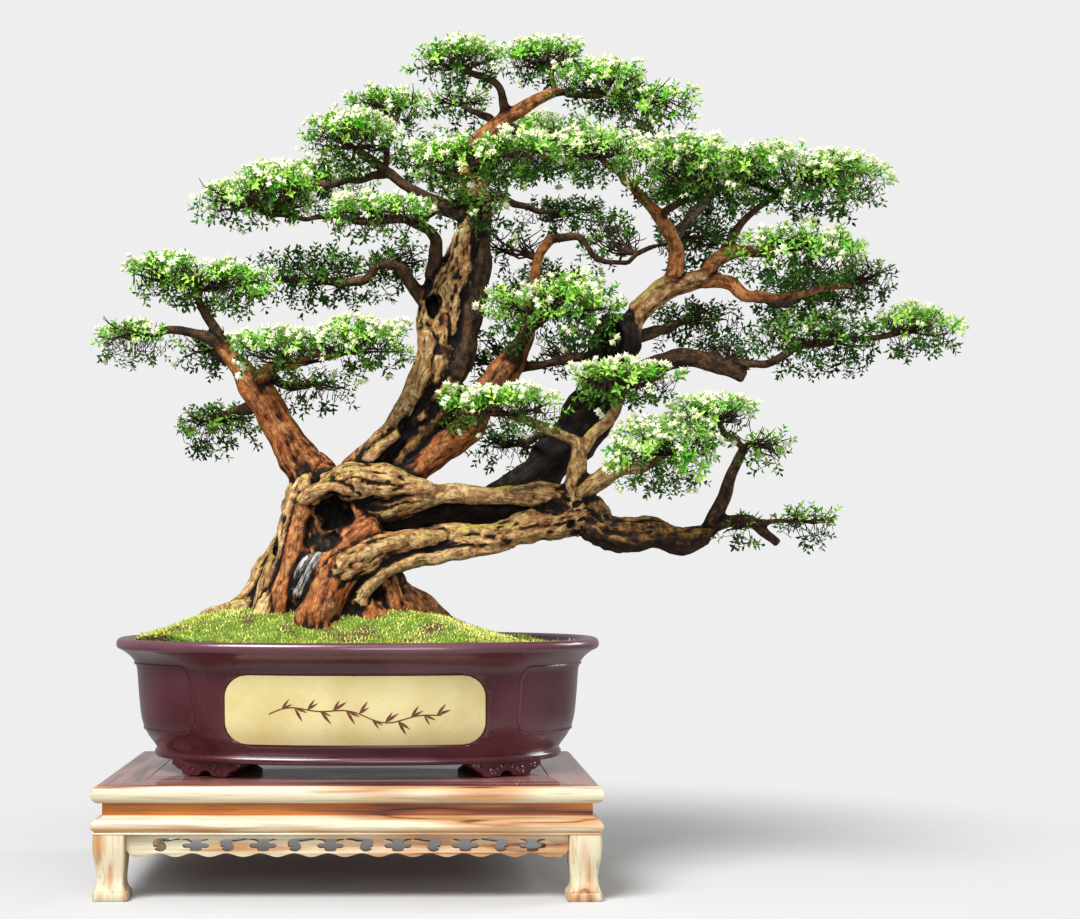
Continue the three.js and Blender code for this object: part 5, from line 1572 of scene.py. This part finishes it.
for index, (name, (light, bloom, clumps)) in enumerate(sprays.items()):
    shells = []
    for clump in clumps:
        others = [c for c in clumps if c is not clump]
        shells += [cloud(clump, 1.0, others), cloud(clump, 0.5, others)]
    base = stand_in(f"{name}_cloud", bare_mesh(f"{name}_cloud", *joined(shells)))
    spacing = shoot_spacing * max(1, 1.38 - 0.38 * light)
    leaves = grown(f"{name}_spray", base, grow,
                   {"Spacing": spacing, "Seed": index, "Light": light, "Bloom": bloom, **forms})
    settle(leaves, "foliage", f"spray_{name}")
    luck = random.Random(index)
    wood_of = make_piece(f"{name}_twigs", *joined([twigs(clump, luck) for clump in clumps]), [paints[1]])
    settle(wood_of, "bark")
# The stage is not part of the tree: a pale floor that fades out into an even pale surround, one large
# soft light from the upper left and two weaker ones, and a camera at the photograph's height.
def stage_floor():
    spokes, reach = 64, [0.6, 1.2, 2.0, 3.2]
    points = [(radius * math.cos(2 * math.pi * k / spokes), radius * math.sin(2 * math.pi * k / spokes), 0)
              for radius in reach for k in range(spokes)]
    faces = [[0, 1 + k, 1 + (k + 1) % spokes] for k in range(spokes)]
    faces += [[v + 1 for v in face] for face in ring_faces(len(reach), spokes, capped=False)]
    material, tree = new_material("pale_floor", Roughness=0.9, Specular_IOR_Level=0.1,
                                  Base_Color=(0.52, 0.52, 0.52, 1))
    distance = node(tree, "ShaderNodeVectorMath", {"operation": "LENGTH"}, {0: spot(tree)}).outputs["Value"]
    tree.links.new(ranged(tree, distance, 0.5, 1.3, 1.0, 0.0), tree.nodes["Principled BSDF"].inputs["Alpha"])
    return make_piece("floor", [(0, 0, 0), *points], faces, [material])


stage_floor()

surround = bpy.data.worlds.new("pale_surround")
surround.use_nodes = True
sky = surround.node_tree
sky.nodes.clear()
seen_by_camera = node(sky, "ShaderNodeLightPath").outputs["Is Camera Ray"]
even = node(sky, "ShaderNodeBackground", None, {0: (0.723, 0.723, 0.723, 1), 1: 1.0}).outputs[0]
fill = node(sky, "ShaderNodeBackground", None, {0: (1.0, 1.0, 1.0, 1), 1: 0.34}).outputs[0]
both = node(sky, "ShaderNodeMixShader", None, {0: seen_by_camera, 1: fill, 2: even}).outputs[0]
node(sky, "ShaderNodeOutputWorld", None, {0: both})
bpy.context.scene.world = surround


def soft_light(name, at, aim, size, power):
    lamp = bpy.data.lights.new(name, "AREA")
    lamp.size = size
    lamp.energy = power
    holder = added(name, lamp)
    holder.location = at
    holder.rotation_euler = (Vector(aim) - Vector(at)).to_track_quat("-Z", "Y").to_euler()


soft_light("key_light", (-1.7, -2.3, 3.3), (0, 0, 0.7), 2.0, 222)
soft_light("front_light", (0.3, -3.4, 0.9), (0, 0, 0.5), 1.4, 32)
soft_light("right_light", (2.6, 0.6, 1.6), (0, 0, 0.7), 1.2, 40)

camera_data = bpy.data.cameras.new("camera")
camera_data.lens = 60
camera_data.sensor_width = 36
camera_data.shift_x = 0.1278
camera_data.shift_y = 0.0977
camera_data.clip_start, camera_data.clip_end = 0.05, 60
camera = added("camera", camera_data)
camera.location = place(70, -2880, 492)
camera.rotation_euler = (math.pi / 2, 0, 0)
bpy.context.scene.camera = camera
bpy.context.scene.view_settings.view_transform = "Standard"
bpy.context.scene.view_settings.look = "Medium High Contrast"
